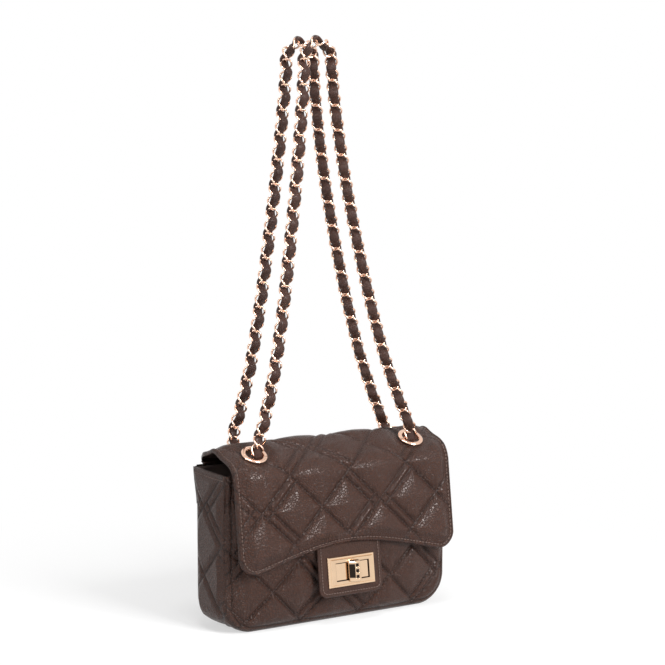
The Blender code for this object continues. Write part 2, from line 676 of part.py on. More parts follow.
def slot_cutter(name, grow):
    tool = box(-LOCK_SLOT_WIDTH * HALF - grow, LOCK_SLOT_WIDTH * HALF + grow, -CUT_OVERRUN,
               LOCK_FRAME_HEIGHT, -LOCK_SLOT_HEIGHT * HALF - grow, LOCK_SLOT_HEIGHT * HALF + grow)
    return hide_cutter(place(name, lean(tool), PALE_GOLD, smooth=False))


def build_lock(flap_axis):
    tab_front = FLAP_TOTAL + TOUCH_GAP
    tab_back = tab_front + TAB_THICKNESS
    backing_front = tab_back + TOUCH_GAP
    backing_back = backing_front + TAB_BACKING_THICKNESS
    plate_front = backing_back + TOUCH_GAP
    plate_back = plate_front + LOCK_BACK_PLATE_THICKNESS
    frame_back = tab_front - TOUCH_GAP
    frame_front = frame_back - LOCK_FRAME_THICKNESS
    low = TAB_BOTTOM - LOCK_CENTRE_HEIGHT
    high = TAB_TOP - LOCK_CENTRE_HEIGHT
    slot = slot_cutter("lock_slot_cutter", 0.0)

    outline = rounded_outline(-TAB_WIDTH * HALF, TAB_WIDTH * HALF, low, high, TAB_CORNER_RADIUS, 0, TAB_STEPS)
    tab = place("lock_tab", lean(prism(outline, tab_front, tab_back)), LEATHER, flap_axis, smooth=False)
    inset = FLAP_LINING_INSET
    inner = rounded_outline(-TAB_WIDTH * HALF + inset, TAB_WIDTH * HALF - inset, low + inset, high,
                            TAB_CORNER_RADIUS - inset, 0, TAB_STEPS)
    backing = place("lock_tab_backing", lean(prism(inner, backing_front, backing_back)), LINING_CLOTH,
                    flap_axis, smooth=False)
    wide = LOCK_FRAME_WIDTH * HALF
    tall = LOCK_FRAME_HEIGHT * HALF
    step = LOCK_FRAME_STEP
    frame = bmesh.new()
    levels = ((0.0, frame_back), (0.0, frame_front + 2 * step), (step * HALF, frame_front + step),
              (step * 3 * HALF, frame_front + step), (2 * step, frame_front))
    rings = [[frame.verts.new((sx * (wide - inset_by), y, sz * (tall - inset_by)))
              for sx, sz in ((-1, -1), (1, -1), (1, 1), (-1, 1))] for inset_by, y in levels]
    for ring, following in zip(rings, rings[1:]):
        for k in range(4):
            n = (k + 1) % 4
            frame.faces.new((ring[k], ring[n], following[n], following[k]))
    frame.faces.new(rings[0])
    frame.faces.new(rings[-1])
    frame_piece = place("lock_frame", lean(frame), PALE_GOLD, flap_axis, smooth=False)
    plate = box(-wide + step, wide - step, plate_front, plate_back, -tall + step, tall - step)
    plate_piece = place("lock_frame_back_plate", lean(plate), PALE_GOLD, flap_axis, smooth=False)
    for thing in (tab, backing, frame_piece, plate_piece):
        cut(thing, slot)

    # Two small screws clamp the back plate, tab and frame together
    screw_x = (wide + LOCK_SLOT_WIDTH * HALF) * HALF
    shank = LOCK_SCREW_SHANK * HALF
    head = LOCK_SCREW_HEAD * HALF
    head_thickness = LOCK_BACK_PLATE_THICKNESS
    drills = bmesh.new()
    out = Vector((0.0, -1.0, 0.0))
    tip = frame_front + 2 * step
    for side, word in ((-1, "left"), (1, "right")):
        centre = Vector((side * screw_x, 0.0, 0.0))
        screw = [(0.0, -plate_back - TOUCH_GAP - head_thickness), (head, -plate_back - TOUCH_GAP - head_thickness),
                 (head, -plate_back - TOUCH_GAP), (shank, -plate_back - TOUCH_GAP), (shank, -tip - TOUCH_GAP),
                 (0.0, -tip - TOUCH_GAP)]
        piece = lean(spindle(screw, centre, out, SCREW_STEPS))
        place("lock_frame_screw_" + word, piece, PALE_GOLD, flap_axis, smooth=False)
        merge(drills, rod(centre, out, shank + TOUCH_GAP, -plate_back - CUT_OVERRUN, -tip, SCREW_STEPS))
    drill = hide_cutter(place("lock_screw_hole_cutter", lean(drills), PALE_GOLD, smooth=False))
    for thing in (tab, backing, frame_piece, plate_piece):
        cut(thing, drill)

    # Base on the front panel: a flange seated on the leather and a platform that fills the slot
    clearance = LOCK_PLATFORM_CLEARANCE
    flange_front = plate_back + TOUCH_GAP
    platform_front = frame_front + LOCK_FRAME_STEP
    half_x = LOCK_SLOT_WIDTH * HALF - clearance
    half_z = LOCK_SLOT_HEIGHT * HALF - clearance
    margin = LOCK_BASE_MARGIN
    deep = -LOCK_ORIGIN.y
    base = place("lock_base", lean(box(-half_x, half_x, platform_front, deep, -half_z, half_z)), PALE_GOLD,
                 smooth=False)
    flange = box(-half_x - margin, half_x + margin, flange_front, deep, -half_z - margin, half_z + margin)
    join(base, place("lock_flange_tool", lean(flange), PALE_GOLD, smooth=False))
    behind = box(-BAG_WIDTH, BAG_WIDTH, -PANEL_FACE_DEPTH - TOUCH_GAP, BAG_WIDTH, -BAG_WIDTH, BAG_WIDTH)
    cut(base, hide_cutter(place("lock_base_seat_cutter", behind, PALE_GOLD, smooth=False)))
    shaft = LOCK_POST_DIAMETER * HALF
    bore = rod(Vector(), out, shaft + TOUCH_GAP, -flange_front, -platform_front + CUT_OVERRUN, POST_STEPS)
    cut(base, hide_cutter(place("lock_shaft_bore_cutter", lean(bore), PALE_GOLD, smooth=False)))

    # Knob: a bevelled bar with a shaft that turns in the base
    knob_axis = pivot("lock_knob_axis", LOCK_ORIGIN)
    knob_back = frame_front - TOUCH_GAP
    knob_front = knob_back - KNOB_THICKNESS
    bar = prism(rounded_outline(-KNOB_WIDTH * HALF, KNOB_WIDTH * HALF, -KNOB_LENGTH * HALF, KNOB_LENGTH * HALF,
                                KNOB_WIDTH * HALF * HALF, KNOB_WIDTH * HALF * HALF, TAB_STEPS), knob_front, knob_back)
    knob = place("lock_knob", lean(bar), PALE_GOLD, knob_axis, smooth=False)
    stem = rod(Vector(), out, shaft, -flange_front + TOUCH_GAP, -knob_back + KNOB_THICKNESS * HALF, POST_STEPS)
    join(knob, place("lock_knob_shaft_tool", lean(stem), PALE_GOLD, smooth=False))


def spindle(profile, centre, axis, steps):
    """A solid turned from a (radius, height) profile that starts and ends on the axis."""
    bm = bmesh.new()
    side = axis.orthogonal().normalized()
    other = axis.cross(side)
    first = bm.verts.new(centre + axis * profile[0][1])
    last = bm.verts.new(centre + axis * profile[-1][1])
    rings = []
    for k in range(steps):
        turn = 2 * pi * k / steps
        outward = side * cos(turn) + other * sin(turn)
        rings.append([bm.verts.new(centre + outward * r + axis * h) for r, h in profile[1:-1]])
    for ring, following in zip(rings, rings[1:] + rings[:1]):
        bm.faces.new((first, ring[0], following[0]))
        bm.faces.new((last, following[-1], ring[-1]))
        for i in range(len(ring) - 1):
            bm.faces.new((ring[i], ring[i + 1], following[i + 1], following[i]))
    return bm


# Chain: oval links hooked through each other, with a leather lace woven along them

WIRE_SIDES = 3
LINK_SHOULDER_SHARE = 0.66
LINK_HALF_LENGTH = (LINK_PITCH + WIRE) * HALF
LINK_SIDE = (LINK_WIDTH - WIRE) * HALF
LINK_SHOULDER = LINK_HALF_LENGTH - LINK_SIDE * LINK_SHOULDER_SHARE
LACE_SWING = 0.0036
SPREAD_HEIGHT_SHARES = (0.0, 0.08, 0.20, 0.36, 0.52, 0.69, 0.86, 0.96)
SPREAD_SHARES = (1.0, 0.875, 0.715, 0.560, 0.430, 0.310, 0.220, 0.178)
PATH_STEPS = 30
BEND_STEPS = 12
PASSAGE_LINKS = 7


def smooth_between(values, places, place):
    """A smooth curve through values given at places."""
    k = 0
    while k < len(places) - 2 and place > places[k + 1]:
        k += 1
    share = (place - places[k]) / (places[k + 1] - places[k])
    before = values[max(k - 1, 0)]
    after = values[min(k + 2, len(values) - 1)]
    here, there = values[k], values[k + 1]
    pull_here = HALF * (there - before)
    pull_there = HALF * (after - here)
    square, cube = share ** 2, share ** 3
    return ((2 * cube - 3 * square + 1) * here + (cube - 2 * square + share) * pull_here
            + (3 * square - 2 * cube) * there + (cube - square) * pull_there)


def pivot_frame(side_y):
    """Crossing point and outward direction of the chain above a pair of eyelets."""
    centre, normal = eyelet_frames()["back_left" if side_y > 0 else "front_left"]
    point = centre + normal * PIVOT_ABOVE_EYELET
    return point, normal


def strap_path(side_y):
    """The standing loop's centre line, from its left pivot over the top to its right pivot."""
    start, normal = pivot_frame(side_y)
    start = start - normal * (2 * WIRE_RIDGE + LINK_PLAY - WIRE)
    rise = STRAP_TOP - STRAP_TOP_BEND - start.z
    top_y = side_y * STRAP_TOP_SPREAD * HALF
    half_spread = EYELET_SPACING_X * HALF - CHAIN_REST
    sides = {}
    for side_x in (-1, 1):
        points = []
        for k in range(PATH_STEPS + 1):
            share = k / PATH_STEPS
            spread = smooth_between(SPREAD_SHARES, SPREAD_HEIGHT_SHARES, share) * half_spread
            if k == PATH_STEPS:
                spread = STRAP_TOP_BEND
            x = side_x * spread - STRAP_LEAN_LEFT * sin(HALF * pi * share)
            points.append(Vector((x, start.y + (top_y - start.y) * share, start.z + rise * share)))
        sides[side_x] = points
    top = []
    for k in range(1, BEND_STEPS):
        turn = pi * (1 - k / BEND_STEPS)
        top.append(Vector((STRAP_TOP_BEND * cos(turn) - STRAP_LEAN_LEFT, top_y,
                           STRAP_TOP - STRAP_TOP_BEND + STRAP_TOP_BEND * sin(turn))))
    return sides[-1] + top + sides[1][::-1]


def passage_path(side_x):
    """From the front pivot down through its eyelet, under the crest and up to the back pivot."""
    point, normal = pivot_frame(-1)
    slope = FLAP_EYELET_SLOPE
    dive = HALF * pi - slope
    x = side_x * (EYELET_SPACING_X * HALF - CHAIN_REST)
    whole = PASSAGE_LINKS * LINK_PITCH * HALF
    reach = -point.y
    straight = (whole - reach * dive / sin(dive)) / (1 - dive * sin(slope) / sin(dive))
    radius = (reach - straight * sin(slope)) / sin(dive)
    bend_y = point.y + straight * sin(slope)
    bend_z = point.z - straight * cos(slope)
    half = [Vector((x, point.y, point.z)), Vector((x, bend_y, bend_z))]
    for k in range(1, BEND_STEPS + 1):
        turn = dive * (1 - k / BEND_STEPS)
        half.append(Vector((x, -radius * sin(turn), bend_z - radius * (cos(turn) - cos(dive)))))
    return half + [Vector((x, -p.y, p.z)) for p in half[-2::-1]]


def even_points(path, count):
    """Count + 1 points at equal distances along a path."""
    reach = [0.0]
    for a, b in zip(path, path[1:]):
        reach.append(reach[-1] + (b - a).length)
    points = []
    k = 0
    for i in range(count + 1):
        goal = reach[-1] * i / count
        while k < len(path) - 2 and goal > reach[k + 1]:
            k += 1
        share = (goal - reach[k]) / (reach[k + 1] - reach[k])
        points.append(path[k].lerp(path[k + 1], min(max(share, 0.0), 1.0)))
    return points, reach[-1]


def link_planes(points, first_across):
    """Middle, direction and broad direction of each link; every other link is turned a quarter."""
    frames = []
    for k, (a, b) in enumerate(zip(points, points[1:])):
        along = (b - a).normalized()
        across = (first_across - along * first_across.dot(along)).normalized()
        if k % 2:
            across = along.cross(across).normalized()
        frames.append(((a + b) * HALF, along, across))
    return frames


def add_link(bm, middle, along, across):
    """One oval ring of wire: two end corners and a pair of shoulders towards each end."""
    normal = along.cross(across).normalized()
    spine = []
    for end in (1, -1):
        spine.append((end * LINK_SHOULDER, end * LINK_SIDE))
        spine.append((end * LINK_HALF_LENGTH, 0.0))
        spine.append((end * LINK_SHOULDER, -end * LINK_SIDE))
    spine.reverse()
    count = len(spine)
    rings = []
    for i, (u, w) in enumerate(spine):
        before = spine[i - 1]
        after = spine[(i + 1) % count]
        tangent = Vector((after[0] - before[0], after[1] - before[1])).normalized()
        outward = (along * tangent.y - across * tangent.x)
        centre = middle + along * u + across * w
        ring = []
        for k in range(WIRE_SIDES):
            turn = pi + 2 * pi * k / WIRE_SIDES
            ring.append(bm.verts.new(centre + (outward * cos(turn) + normal * sin(turn)) * WIRE_RIDGE))
        rings.append(ring)
    for i in range(count):
        ring, following = rings[i], rings[(i + 1) % count]
        for k in range(WIRE_SIDES):
            n = (k + 1) % WIRE_SIDES
            bm.faces.new((ring[k], ring[n], following[n], following[k]))


def lace_ring(bm, centre, out, along):
    side = along.cross(out).normalized()
    half_w = LACE_WIDTH * HALF
    half_t = LACE_THICKNESS * HALF
    corners = ((1, 1), (-1, 1), (-1, -1), (1, -1))
    return [bm.verts.new(centre + side * (a * half_w) + out * (b * half_t)) for a, b in corners]


def lace(points, frames, name, parent):
    """The leather strip, passing through every link and over one side of every crossing."""
    bm = bmesh.new()
    rings = []
    for k, (middle, along, across) in enumerate(frames):
        if k:
            before_along, before_across = frames[k - 1][1:]
            direction = (before_along + along).normalized()
            out = across + before_across
            out = (out - direction * out.dot(direction)).normalized()
            swing = LACE_SWING if k % 2 else -LACE_SWING
            rings.append(lace_ring(bm, points[k] + out * swing, out, direction))
        out = (across - along.cross(across)).normalized()
        rings.append(lace_ring(bm, middle, out, along))
    for low, high in zip(rings, rings[1:]):
        for i in range(len(low)):
            n = (i + 1) % len(low)
            bm.faces.new((low[i], low[n], high[n], high[i]))
    bm.faces.new(rings[0])
    bm.faces.new(rings[-1])
    place(name, bm, LACE_LEATHER, parent, smooth=False)


def chain(frames, name, parent):
    """Every other link, united with the links between them where their wires bear on each other."""
    even = bmesh.new()
    odd = bmesh.new()
    for k, (middle, along, across) in enumerate(frames):
        add_link(odd if k % 2 else even, middle, along, across)
    links = place(name, even, ROSE_GOLD, parent)
    join(links, place(name + "_between_tool", odd, ROSE_GOLD))


def build_chains(flap_axis):
    for side_x, word in ((-1, "left"), (1, "right")):
        points = even_points(passage_path(side_x), PASSAGE_LINKS)[0]
        frames = link_planes(points, Vector((1.0, 0.0, 0.0)))
        chain(frames, word + "_passage_links", flap_axis)
        lace(points, frames, word + "_passage_lace", flap_axis)
    for side_y, word in ((-1, "front"), (1, "back")):
        path = strap_path(side_y)
        count = int(even_points(path, 1)[1] / LINK_PITCH)
        count += 1 - count % 2
        points = even_points(path, count)[0]
        frames = link_planes(points, Vector((0.0, 1.0, 0.0)))
        point, normal = pivot_frame(side_y)
        hinge_point = point + normal * WIRE * HALF
        hinge_point.x = 0.0
        axis = pivot(word + "_strap_axis", hinge_point, flap_axis)
        chain(frames, word + "_strap_links", axis)
        lace(points, frames, word + "_strap_lace", axis)


def main():
    clear_scene()
    lining_back = build_body()
    build_zip_pocket(lining_back)
    flap_axis = pivot("flap_axis", Vector((0.0, HINGE_Y, HINGE_Z)))
    build_flap(flap_axis)
    build_lock(flap_axis)
    build_chains(flap_axis)


main()
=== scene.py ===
import bpy
import bmesh
import numpy as np
from math import sin, cos, pi, sqrt, radians
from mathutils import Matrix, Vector


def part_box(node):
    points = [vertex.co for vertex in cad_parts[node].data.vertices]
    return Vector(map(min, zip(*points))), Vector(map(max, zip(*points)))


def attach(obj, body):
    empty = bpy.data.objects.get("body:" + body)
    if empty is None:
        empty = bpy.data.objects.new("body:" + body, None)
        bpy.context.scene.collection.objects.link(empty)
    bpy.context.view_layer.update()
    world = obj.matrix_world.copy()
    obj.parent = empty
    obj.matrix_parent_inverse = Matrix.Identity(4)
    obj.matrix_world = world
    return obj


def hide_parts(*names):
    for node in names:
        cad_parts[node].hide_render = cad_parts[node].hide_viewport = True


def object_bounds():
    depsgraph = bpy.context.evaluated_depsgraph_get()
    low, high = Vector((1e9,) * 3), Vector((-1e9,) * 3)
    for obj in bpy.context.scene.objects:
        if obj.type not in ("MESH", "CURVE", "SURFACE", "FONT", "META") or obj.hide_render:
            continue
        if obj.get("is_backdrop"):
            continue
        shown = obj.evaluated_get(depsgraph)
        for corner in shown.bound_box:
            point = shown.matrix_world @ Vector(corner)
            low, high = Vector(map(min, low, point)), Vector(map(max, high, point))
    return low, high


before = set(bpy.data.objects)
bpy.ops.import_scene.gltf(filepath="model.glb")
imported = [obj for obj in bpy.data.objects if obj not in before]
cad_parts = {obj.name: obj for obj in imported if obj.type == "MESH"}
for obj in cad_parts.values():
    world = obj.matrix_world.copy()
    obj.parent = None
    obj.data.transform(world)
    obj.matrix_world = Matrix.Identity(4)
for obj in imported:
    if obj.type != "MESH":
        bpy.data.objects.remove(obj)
cad_box = [list(map(float, corner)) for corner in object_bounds()]
scene = bpy.context.scene
scene.view_settings.view_transform = 'Standard'

# Camera
# A long lens to the left of the bag's front and a little above it, as in a shop picture.

DEGREES_DOWN = 6.9
DEGREES_LEFT = 32
camera_data = bpy.data.cameras.new("camera")
camera_data.lens = 102.3
camera_data.sensor_width = 36.0
camera = bpy.data.objects.new("camera", camera_data)
scene.collection.objects.link(camera)
camera.location = (-0.763, -1.235, 0.397)
camera.rotation_euler = (radians(90 - DEGREES_DOWN), 0.0, radians(-DEGREES_LEFT))
scene.camera = camera

# Studio
# White paper, a softbox in front, one above and one on the left, in a room that is darker to the left.
# The paper looks white to the camera and keeps the bag's soft contact shadow.

BAG_MIDDLE = Vector((0.0, 0.0, 0.10))
BRIGHT_SIDE = (0.62, 0.10, 0.78)
PAPER_HALF = 6.0


def softbox(name, place, width, height, power):
    """A lamp with a wide soft face, turned towards the bag."""
    data = bpy.data.lights.new(name, 'AREA')
    data.shape = 'RECTANGLE'
    data.size = width
    data.size_y = height
    data.energy = power
    lamp = bpy.data.objects.new(name, data)
    scene.collection.objects.link(lamp)
    lamp.location = place
    lamp.rotation_euler = (BAG_MIDDLE - Vector(place)).to_track_quat('-Z', 'Y').to_euler()


softbox("softbox_front", (0.42, -1.58, 1.04), 0.66, 0.92, 47.0)
softbox("softbox_above", (-0.30, -0.60, 2.00), 0.6, 0.6, 13.0)
softbox("softbox_left", (-1.90, -0.30, 1.00), 0.5, 0.8, 15.0)


def add_node(tree, kind, values=None, **settings):
    """A node of a finish, with its settings and the values that its sockets hold."""
    node = tree.nodes.new("ShaderNode" + kind)
    for name, setting in settings.items():
        setattr(node, name, setting)
    for socket, value in (values or {}).items():
        node.inputs[socket].default_value = value
    return node


def join(tree, *wires):
    """Links between nodes, each as (from, its output, to, its input)."""
    for source, output, target, socket in wires:
        tree.links.new(source.outputs[output], target.inputs[socket])


def new_finish(name):
    """A material, its node tree and its shader."""
    finish = bpy.data.materials.new(name)
    finish.use_nodes = True
    return finish, finish.node_tree, finish.node_tree.nodes["Principled BSDF"]


def new_piece(name, points, faces, finish):
    """A smooth object in the scene, of points, faces and a finish."""
    mesh = bpy.data.meshes.new(name)
    mesh.from_pydata(np.reshape(points, (-1, 3)).tolist(), [], faces)
    mesh.polygons.foreach_set("use_smooth", [True] * len(mesh.polygons))
    mesh.materials.append(finish)
    piece = bpy.data.objects.new(name, mesh)
    scene.collection.objects.link(piece)
    return piece


world = bpy.data.worlds.new("studio")
scene.world = world
world.use_nodes = True
tree = world.node_tree
tree.nodes.clear()
way = add_node(tree, "TexCoord")
towards = add_node(tree, "VectorMath", {1: BRIGHT_SIDE}, operation='DOT_PRODUCT')
room = add_node(tree, "MapRange", {"From Min": -0.35, "From Max": 0.60, "To Min": 0.05, "To Max": 0.34},
                interpolation_type='SMOOTHSTEP')
ambient = add_node(tree, "Background", {"Color": (1.0, 0.98, 0.96, 1.0)})
paper_white = add_node(tree, "Background", {"Color": (1.0, 1.0, 1.0, 1.0)})
rays = add_node(tree, "LightPath")
seen, mirrored = [add_node(tree, "Math", operation='MAXIMUM') for _ in range(2)]
choose = add_node(tree, "MixShader")
result = add_node(tree, "OutputWorld")
join(tree, (way, "Generated", towards, 0), (towards, "Value", room, "Value"), (room, "Result", ambient, "Strength"),
     (rays, "Is Camera Ray", seen, 0), (rays, "Is Transmission Ray", seen, 1),
     (seen, 0, mirrored, 0), (rays, "Is Glossy Ray", mirrored, 1),
     (mirrored, 0, choose, "Fac"), (ambient, 0, choose, 1), (paper_white, 0, choose, 2), (choose, 0, result, "Surface"))

paper_finish, tree, _ = new_finish("white_paper")
tree.nodes.clear()
matt = add_node(tree, "BsdfDiffuse", {"Color": (0.93, 0.935, 0.94, 1.0)})
lit = add_node(tree, "Emission", {"Color": (1.0, 1.0, 1.0, 1.0), "Strength": 1.0})
rays = add_node(tree, "LightPath")
seen = add_node(tree, "Math", operation='MAXIMUM')
share = add_node(tree, "Math", operation='MULTIPLY')
place = add_node(tree, "TexCoord")
reach = add_node(tree, "VectorMath", operation='LENGTH')
fade = add_node(tree, "MapRange", {"From Min": 0.10, "From Max": 0.42, "To Min": 0.55}, interpolation_type='SMOOTHSTEP')
choose = add_node(tree, "MixShader")
result = add_node(tree, "OutputMaterial")
join(tree, (place, "Object", reach, 0), (reach, "Value", fade, "Value"), (fade, "Result", share, 1),
     (rays, "Is Camera Ray", seen, 0), (rays, "Is Glossy Ray", seen, 1), (seen, 0, share, 0),
     (share, 0, choose, "Fac"), (matt, 0, choose, 1), (lit, 0, choose, 2), (choose, 0, result, "Surface"))
paper_corners = [(x * PAPER_HALF, y * PAPER_HALF, 0.0) for x, y in ((-1, -1), (1, -1), (1, 1), (-1, 1))]
paper = new_piece("paper", paper_corners, [(0, 1, 2, 3)], paper_finish)
paper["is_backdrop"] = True

# Front and back panels
# Pebbled calf leather over wadding, sewn through in diamonds whose lines run double in places.
# Each panel bulges between the edges where it is sewn to the gusset.

BAG_HALF_WIDTH = 0.100
BAG_HEIGHT = 0.122
CORNER = 0.024
HALF_DEPTH = 0.0215
FRONT_MOUTH = 0.0240
BACK_MOUTH = 0.0265
MOUTH_START = 0.092
PANEL_BULGE = 0.0090
PANEL_FACE = 0.0008
PANEL_LATTICE_X = {-1: 0.0419, 1: -0.0107}
PANEL_LATTICE_Z = 0.0306
LATTICE = 0.0526
DOUBLE_LINE = 0.18
PUFF = 0.0046
PUFF_REACH = 0.0186
PUFF_FADE = 0.009
PANEL_PUFF_MARGIN = 0.0008
CREASE_REACH = 0.0016
CREASE_ROUND = 0.00025
PANEL_EDGE = (0.0032, 0.0028)
WELT = (0.0022, 0.0014, 0.0004)
WELT_GROOVE = (0.0046, 0.0007, -0.0008)
HINGE_SEAM = 0.007
LOCK_HEIGHT = 0.0425
LOCK_BED = (0.0180, 0.0100)
FACING_ROWS = 48
FACING_LIFT = 0.0003


def eased(share):
    """A smooth rise from 0 to 1, flat at both ends."""
    share = np.clip(share, 0.0, 1.0)
    return share * share * (3 - 2 * share)


def turned_edge(distance, radius, drop):
    """How far a turned edge falls away, from nothing at its radius to the whole drop at the very edge."""
    turn = np.clip(1 - distance / radius, 0.0, 1.0)
    return drop * (1 - np.sqrt(np.maximum(1 - turn ** 2, 0.0)))


def ridge(distance, place, width, height):
    """A round bead, or a groove if its height is negative, at a distance from the edge."""
    return height * np.exp(-((distance - place) / width) ** 2)


def diamond_seams(across, down):
    """Distance to the nearest line of stitching of a diamond lattice; odd lines run double, on alternate sides."""
    a = (across + down) / LATTICE
    b = (across - down) / LATTICE
    nearest = np.minimum(np.abs(a - np.round(a)), np.abs(b - np.round(b)))
    for here, other in ((a, b), (b, a)):
        odd = 2 * np.floor(here / 2) + 1
        side = np.where(np.floor(other) % 2 == 1, 1.0, -1.0)
        nearest = np.minimum(nearest, np.abs(here - odd - DOUBLE_LINE * side))
    return nearest * LATTICE / sqrt(2)


def puffed(distance, edge_distance, margin):
    """Height of the wadding between seams, fading out towards a flat sewn edge."""
    crease = 1 - np.exp(-(np.hypot(distance, CREASE_ROUND) - CREASE_ROUND) / CREASE_REACH)
    dome = 1 - (1 - np.minimum(distance / PUFF_REACH, 1.0)) ** 2
    return PUFF * (0.42 * crease + 0.58 * dome) * eased((edge_distance - margin) / PUFF_FADE)


def grid_faces(rows, columns, rows_meet=False, columns_meet=False, copies=1):
    """Faces between the neighbours of a grid of points, joined end to end where asked, for one or more grids."""
    corner = np.arange(rows * columns).reshape(rows, columns)
    if rows_meet:
        corner = np.concatenate([corner, corner[:1]])
    if columns_meet:
        corner = np.concatenate([corner, corner[:, :1]], axis=1)
    faces = np.stack([corner[:-1, :-1], corner[:-1, 1:], corner[1:, 1:], corner[1:, :-1]], -1).reshape(-1, 4)
    return (faces + np.arange(copies)[:, None, None] * rows * columns).reshape(-1, 4)


def sheet_of(name, points, finish):
    """A smooth sheet through a grid of points, an array of rows by columns by xyz."""
    return new_piece(name, points, grid_faces(*points.shape[:2])[:, [0, 3, 2, 1]].tolist(), finish)


def thicken(sheet, thickness, offset):
    """Thickness of a sheet, to one side of its face (-1 or 1) or to both (0)."""
    layer = sheet.modifiers.new("Thickness", 'SOLIDIFY')
    layer.thickness = thickness
    layer.offset = offset


def leather_creases(piece, seams):
    """Keeps each point's distance from the nearest stitched line, for the finish to paint shade into the creases."""
    kept = piece.data.attributes.new("seam_distance", 'FLOAT', 'POINT')
    kept.data.foreach_set("value", np.ascontiguousarray(seams, np.float32).ravel() * 1000)


def toned(shade, share):
    """A colour made darker or lighter."""
    return (*[channel * share for channel in shade], 1.0)


def grained_leather(name, shade, roughness, pebble, depth, sewn=False):
    """Dyed calf leather: rounded pebbles with fine creases, darker in the pits, with slow changes of tone; if sewn,
    painted shade along the stitched lines.
    """
    finish, tree, shader = new_finish(name)
    shader.inputs["Specular IOR Level"].default_value = 0.25
    place = add_node(tree, "TexCoord")
    wander = add_node(tree, "TexNoise", {"Scale": 0.35 / pebble, "Detail": 2.0})
    bend = add_node(tree, "Mix", {"Factor": 0.0009}, data_type='RGBA', blend_type='LINEAR_LIGHT')
    grain = add_node(tree, "TexVoronoi", {"Scale": 1.0 / pebble}, feature='DISTANCE_TO_EDGE')
    dome = add_node(tree, "MapRange", {"From Max": 0.20}, interpolation_type='SMOOTHSTEP')
    pores = add_node(tree, "TexNoise", {"Scale": 0.7 / pebble, "Detail": 2.0})
    height = add_node(tree, "Math", {1: 0.55}, operation='MULTIPLY_ADD')
    bump = add_node(tree, "Bump", {"Distance": depth, "Strength": 1.0})
    patches = add_node(tree, "TexNoise", {"Scale": 24.0, "Detail": 4.0})
    tone = add_node(tree, "Mix", {"A": toned(shade, 0.86), "B": toned(shade, 1.16)}, data_type='RGBA')
    pits, crease_shaded = [add_node(tree, "Mix", {"Factor": 1.0}, data_type='RGBA', blend_type='MULTIPLY') for _ in range(2)]
    pit_tone = add_node(tree, "MapRange", {"To Min": 0.50, "To Max": 1.12})
    gloss = add_node(tree, "MapRange", {"To Min": roughness + 0.20, "To Max": roughness})
    # Painted shade: where sewn is set, the colour darkens to 0.35 towards the stitched lines and sewn edges.
    crease = add_node(tree, "Attribute", attribute_name="seam_distance")
    painted_crease_shade = add_node(tree, "MapRange", {"From Max": 1.1, "To Min": 0.35 if sewn else 1.0},
                         interpolation_type='SMOOTHSTEP')
    join(tree, (place, "Object", wander, "Vector"), (place, "Object", bend, "A"), (wander, "Color", bend, "B"),
         (bend, "Result", grain, "Vector"), (place, "Object", pores, "Vector"), (place, "Object", patches, "Vector"),
         (grain, "Distance", dome, "Value"), (pores, "Fac", height, 0), (dome, "Result", height, 2),
         (height, 0, bump, "Height"), (patches, "Fac", tone, "Factor"), (tone, "Result", pits, "A"),
         (dome, "Result", pit_tone, "Value"), (pit_tone, "Result", pits, "B"),
         (crease, "Fac", painted_crease_shade, "Value"), (pits, "Result", crease_shaded, "A"), (painted_crease_shade, "Result", crease_shaded, "B"),
         (crease_shaded, "Result", shader, "Base Color"), (dome, "Result", gloss, "Value"),
         (gloss, "Result", shader, "Roughness"), (bump, "Normal", shader, "Normal"))
    return finish


def sewn_edge_depth(z, side):
    """How far the front or back seam stands from the middle of the bag; the mouth opens out."""
    mouth = np.where(np.asarray(side) > 0, BACK_MOUTH, FRONT_MOUTH)
    return HALF_DEPTH + (mouth - HALF_DEPTH) * eased((z - MOUTH_START) / (BAG_HEIGHT - MOUTH_START))


def half_width_at(z):
    """Half the body's width at a height, with its round bottom corners."""
    rise = np.clip(z, 0.0, CORNER)
    return BAG_HALF_WIDTH - CORNER + np.sqrt(np.maximum(CORNER ** 2 - (CORNER - rise) ** 2, 0.0))


def panel_bulge(x, z):
    """How far the full bag pushes a panel out, most of all in its middle."""
    across = np.clip(np.abs(x) / half_width_at(np.maximum(z, 0.0003)), 0.0, 1.0)
    up = 2 * z / BAG_HEIGHT - 1
    return PANEL_BULGE * (1 - across ** 4) * (1 - np.where(up > 0, up ** 2, up ** 4))


def panel_outline_distance(x, z):
    """Distance inside the panel's outline, and the same without its top edge."""
    past_x = np.abs(x) - (BAG_HALF_WIDTH - CORNER)
    past_z = CORNER - z
    corner = CORNER - np.hypot(np.maximum(past_x, 0.0), np.maximum(past_z, 0.0))
    sewn = np.where((past_x > 0) & (past_z > 0), corner, np.minimum(BAG_HALF_WIDTH - np.abs(x), z))
    return np.minimum(sewn, BAG_HEIGHT - z), sewn


def panel_seams(x, z, side):
    """Distance to a panel's nearest line of quilting."""
    return diamond_seams(x - PANEL_LATTICE_X[side], PANEL_LATTICE_Z - z)


def panel_face(x, z, side):
    """A point of the outer face of the front (side -1) or back (side 1) panel, flat under the lock and the hinge."""
    inside, sewn = panel_outline_distance(x, z)
    from_hinge = BAG_HEIGHT - HINGE_SEAM - z
    from_lock = np.maximum(np.abs(x) - LOCK_BED[0], np.abs(z - LOCK_HEIGHT) - LOCK_BED[1])
    inside = np.minimum(inside, np.maximum(from_hinge if side > 0 else from_lock, 0.0))
    depth = (sewn_edge_depth(z, side) + PANEL_FACE + panel_bulge(x, z) + ridge(sewn, *WELT) + ridge(sewn, *WELT_GROOVE)
             + puffed(panel_seams(x, z, side), inside, PANEL_PUFF_MARGIN) - turned_edge(sewn, *PANEL_EDGE))
    return np.stack([x, side * depth, z], -1)


def spaced(low, high, step, fine):
    """Places between two edges, close together near both."""
    inner = np.linspace(low + fine[-1], high - fine[-1], max(int((high - low - 2 * fine[-1]) / step), 2) + 1)
    return np.concatenate([low + np.array(fine[:-1]), inner, high - np.array(fine[-2::-1])])
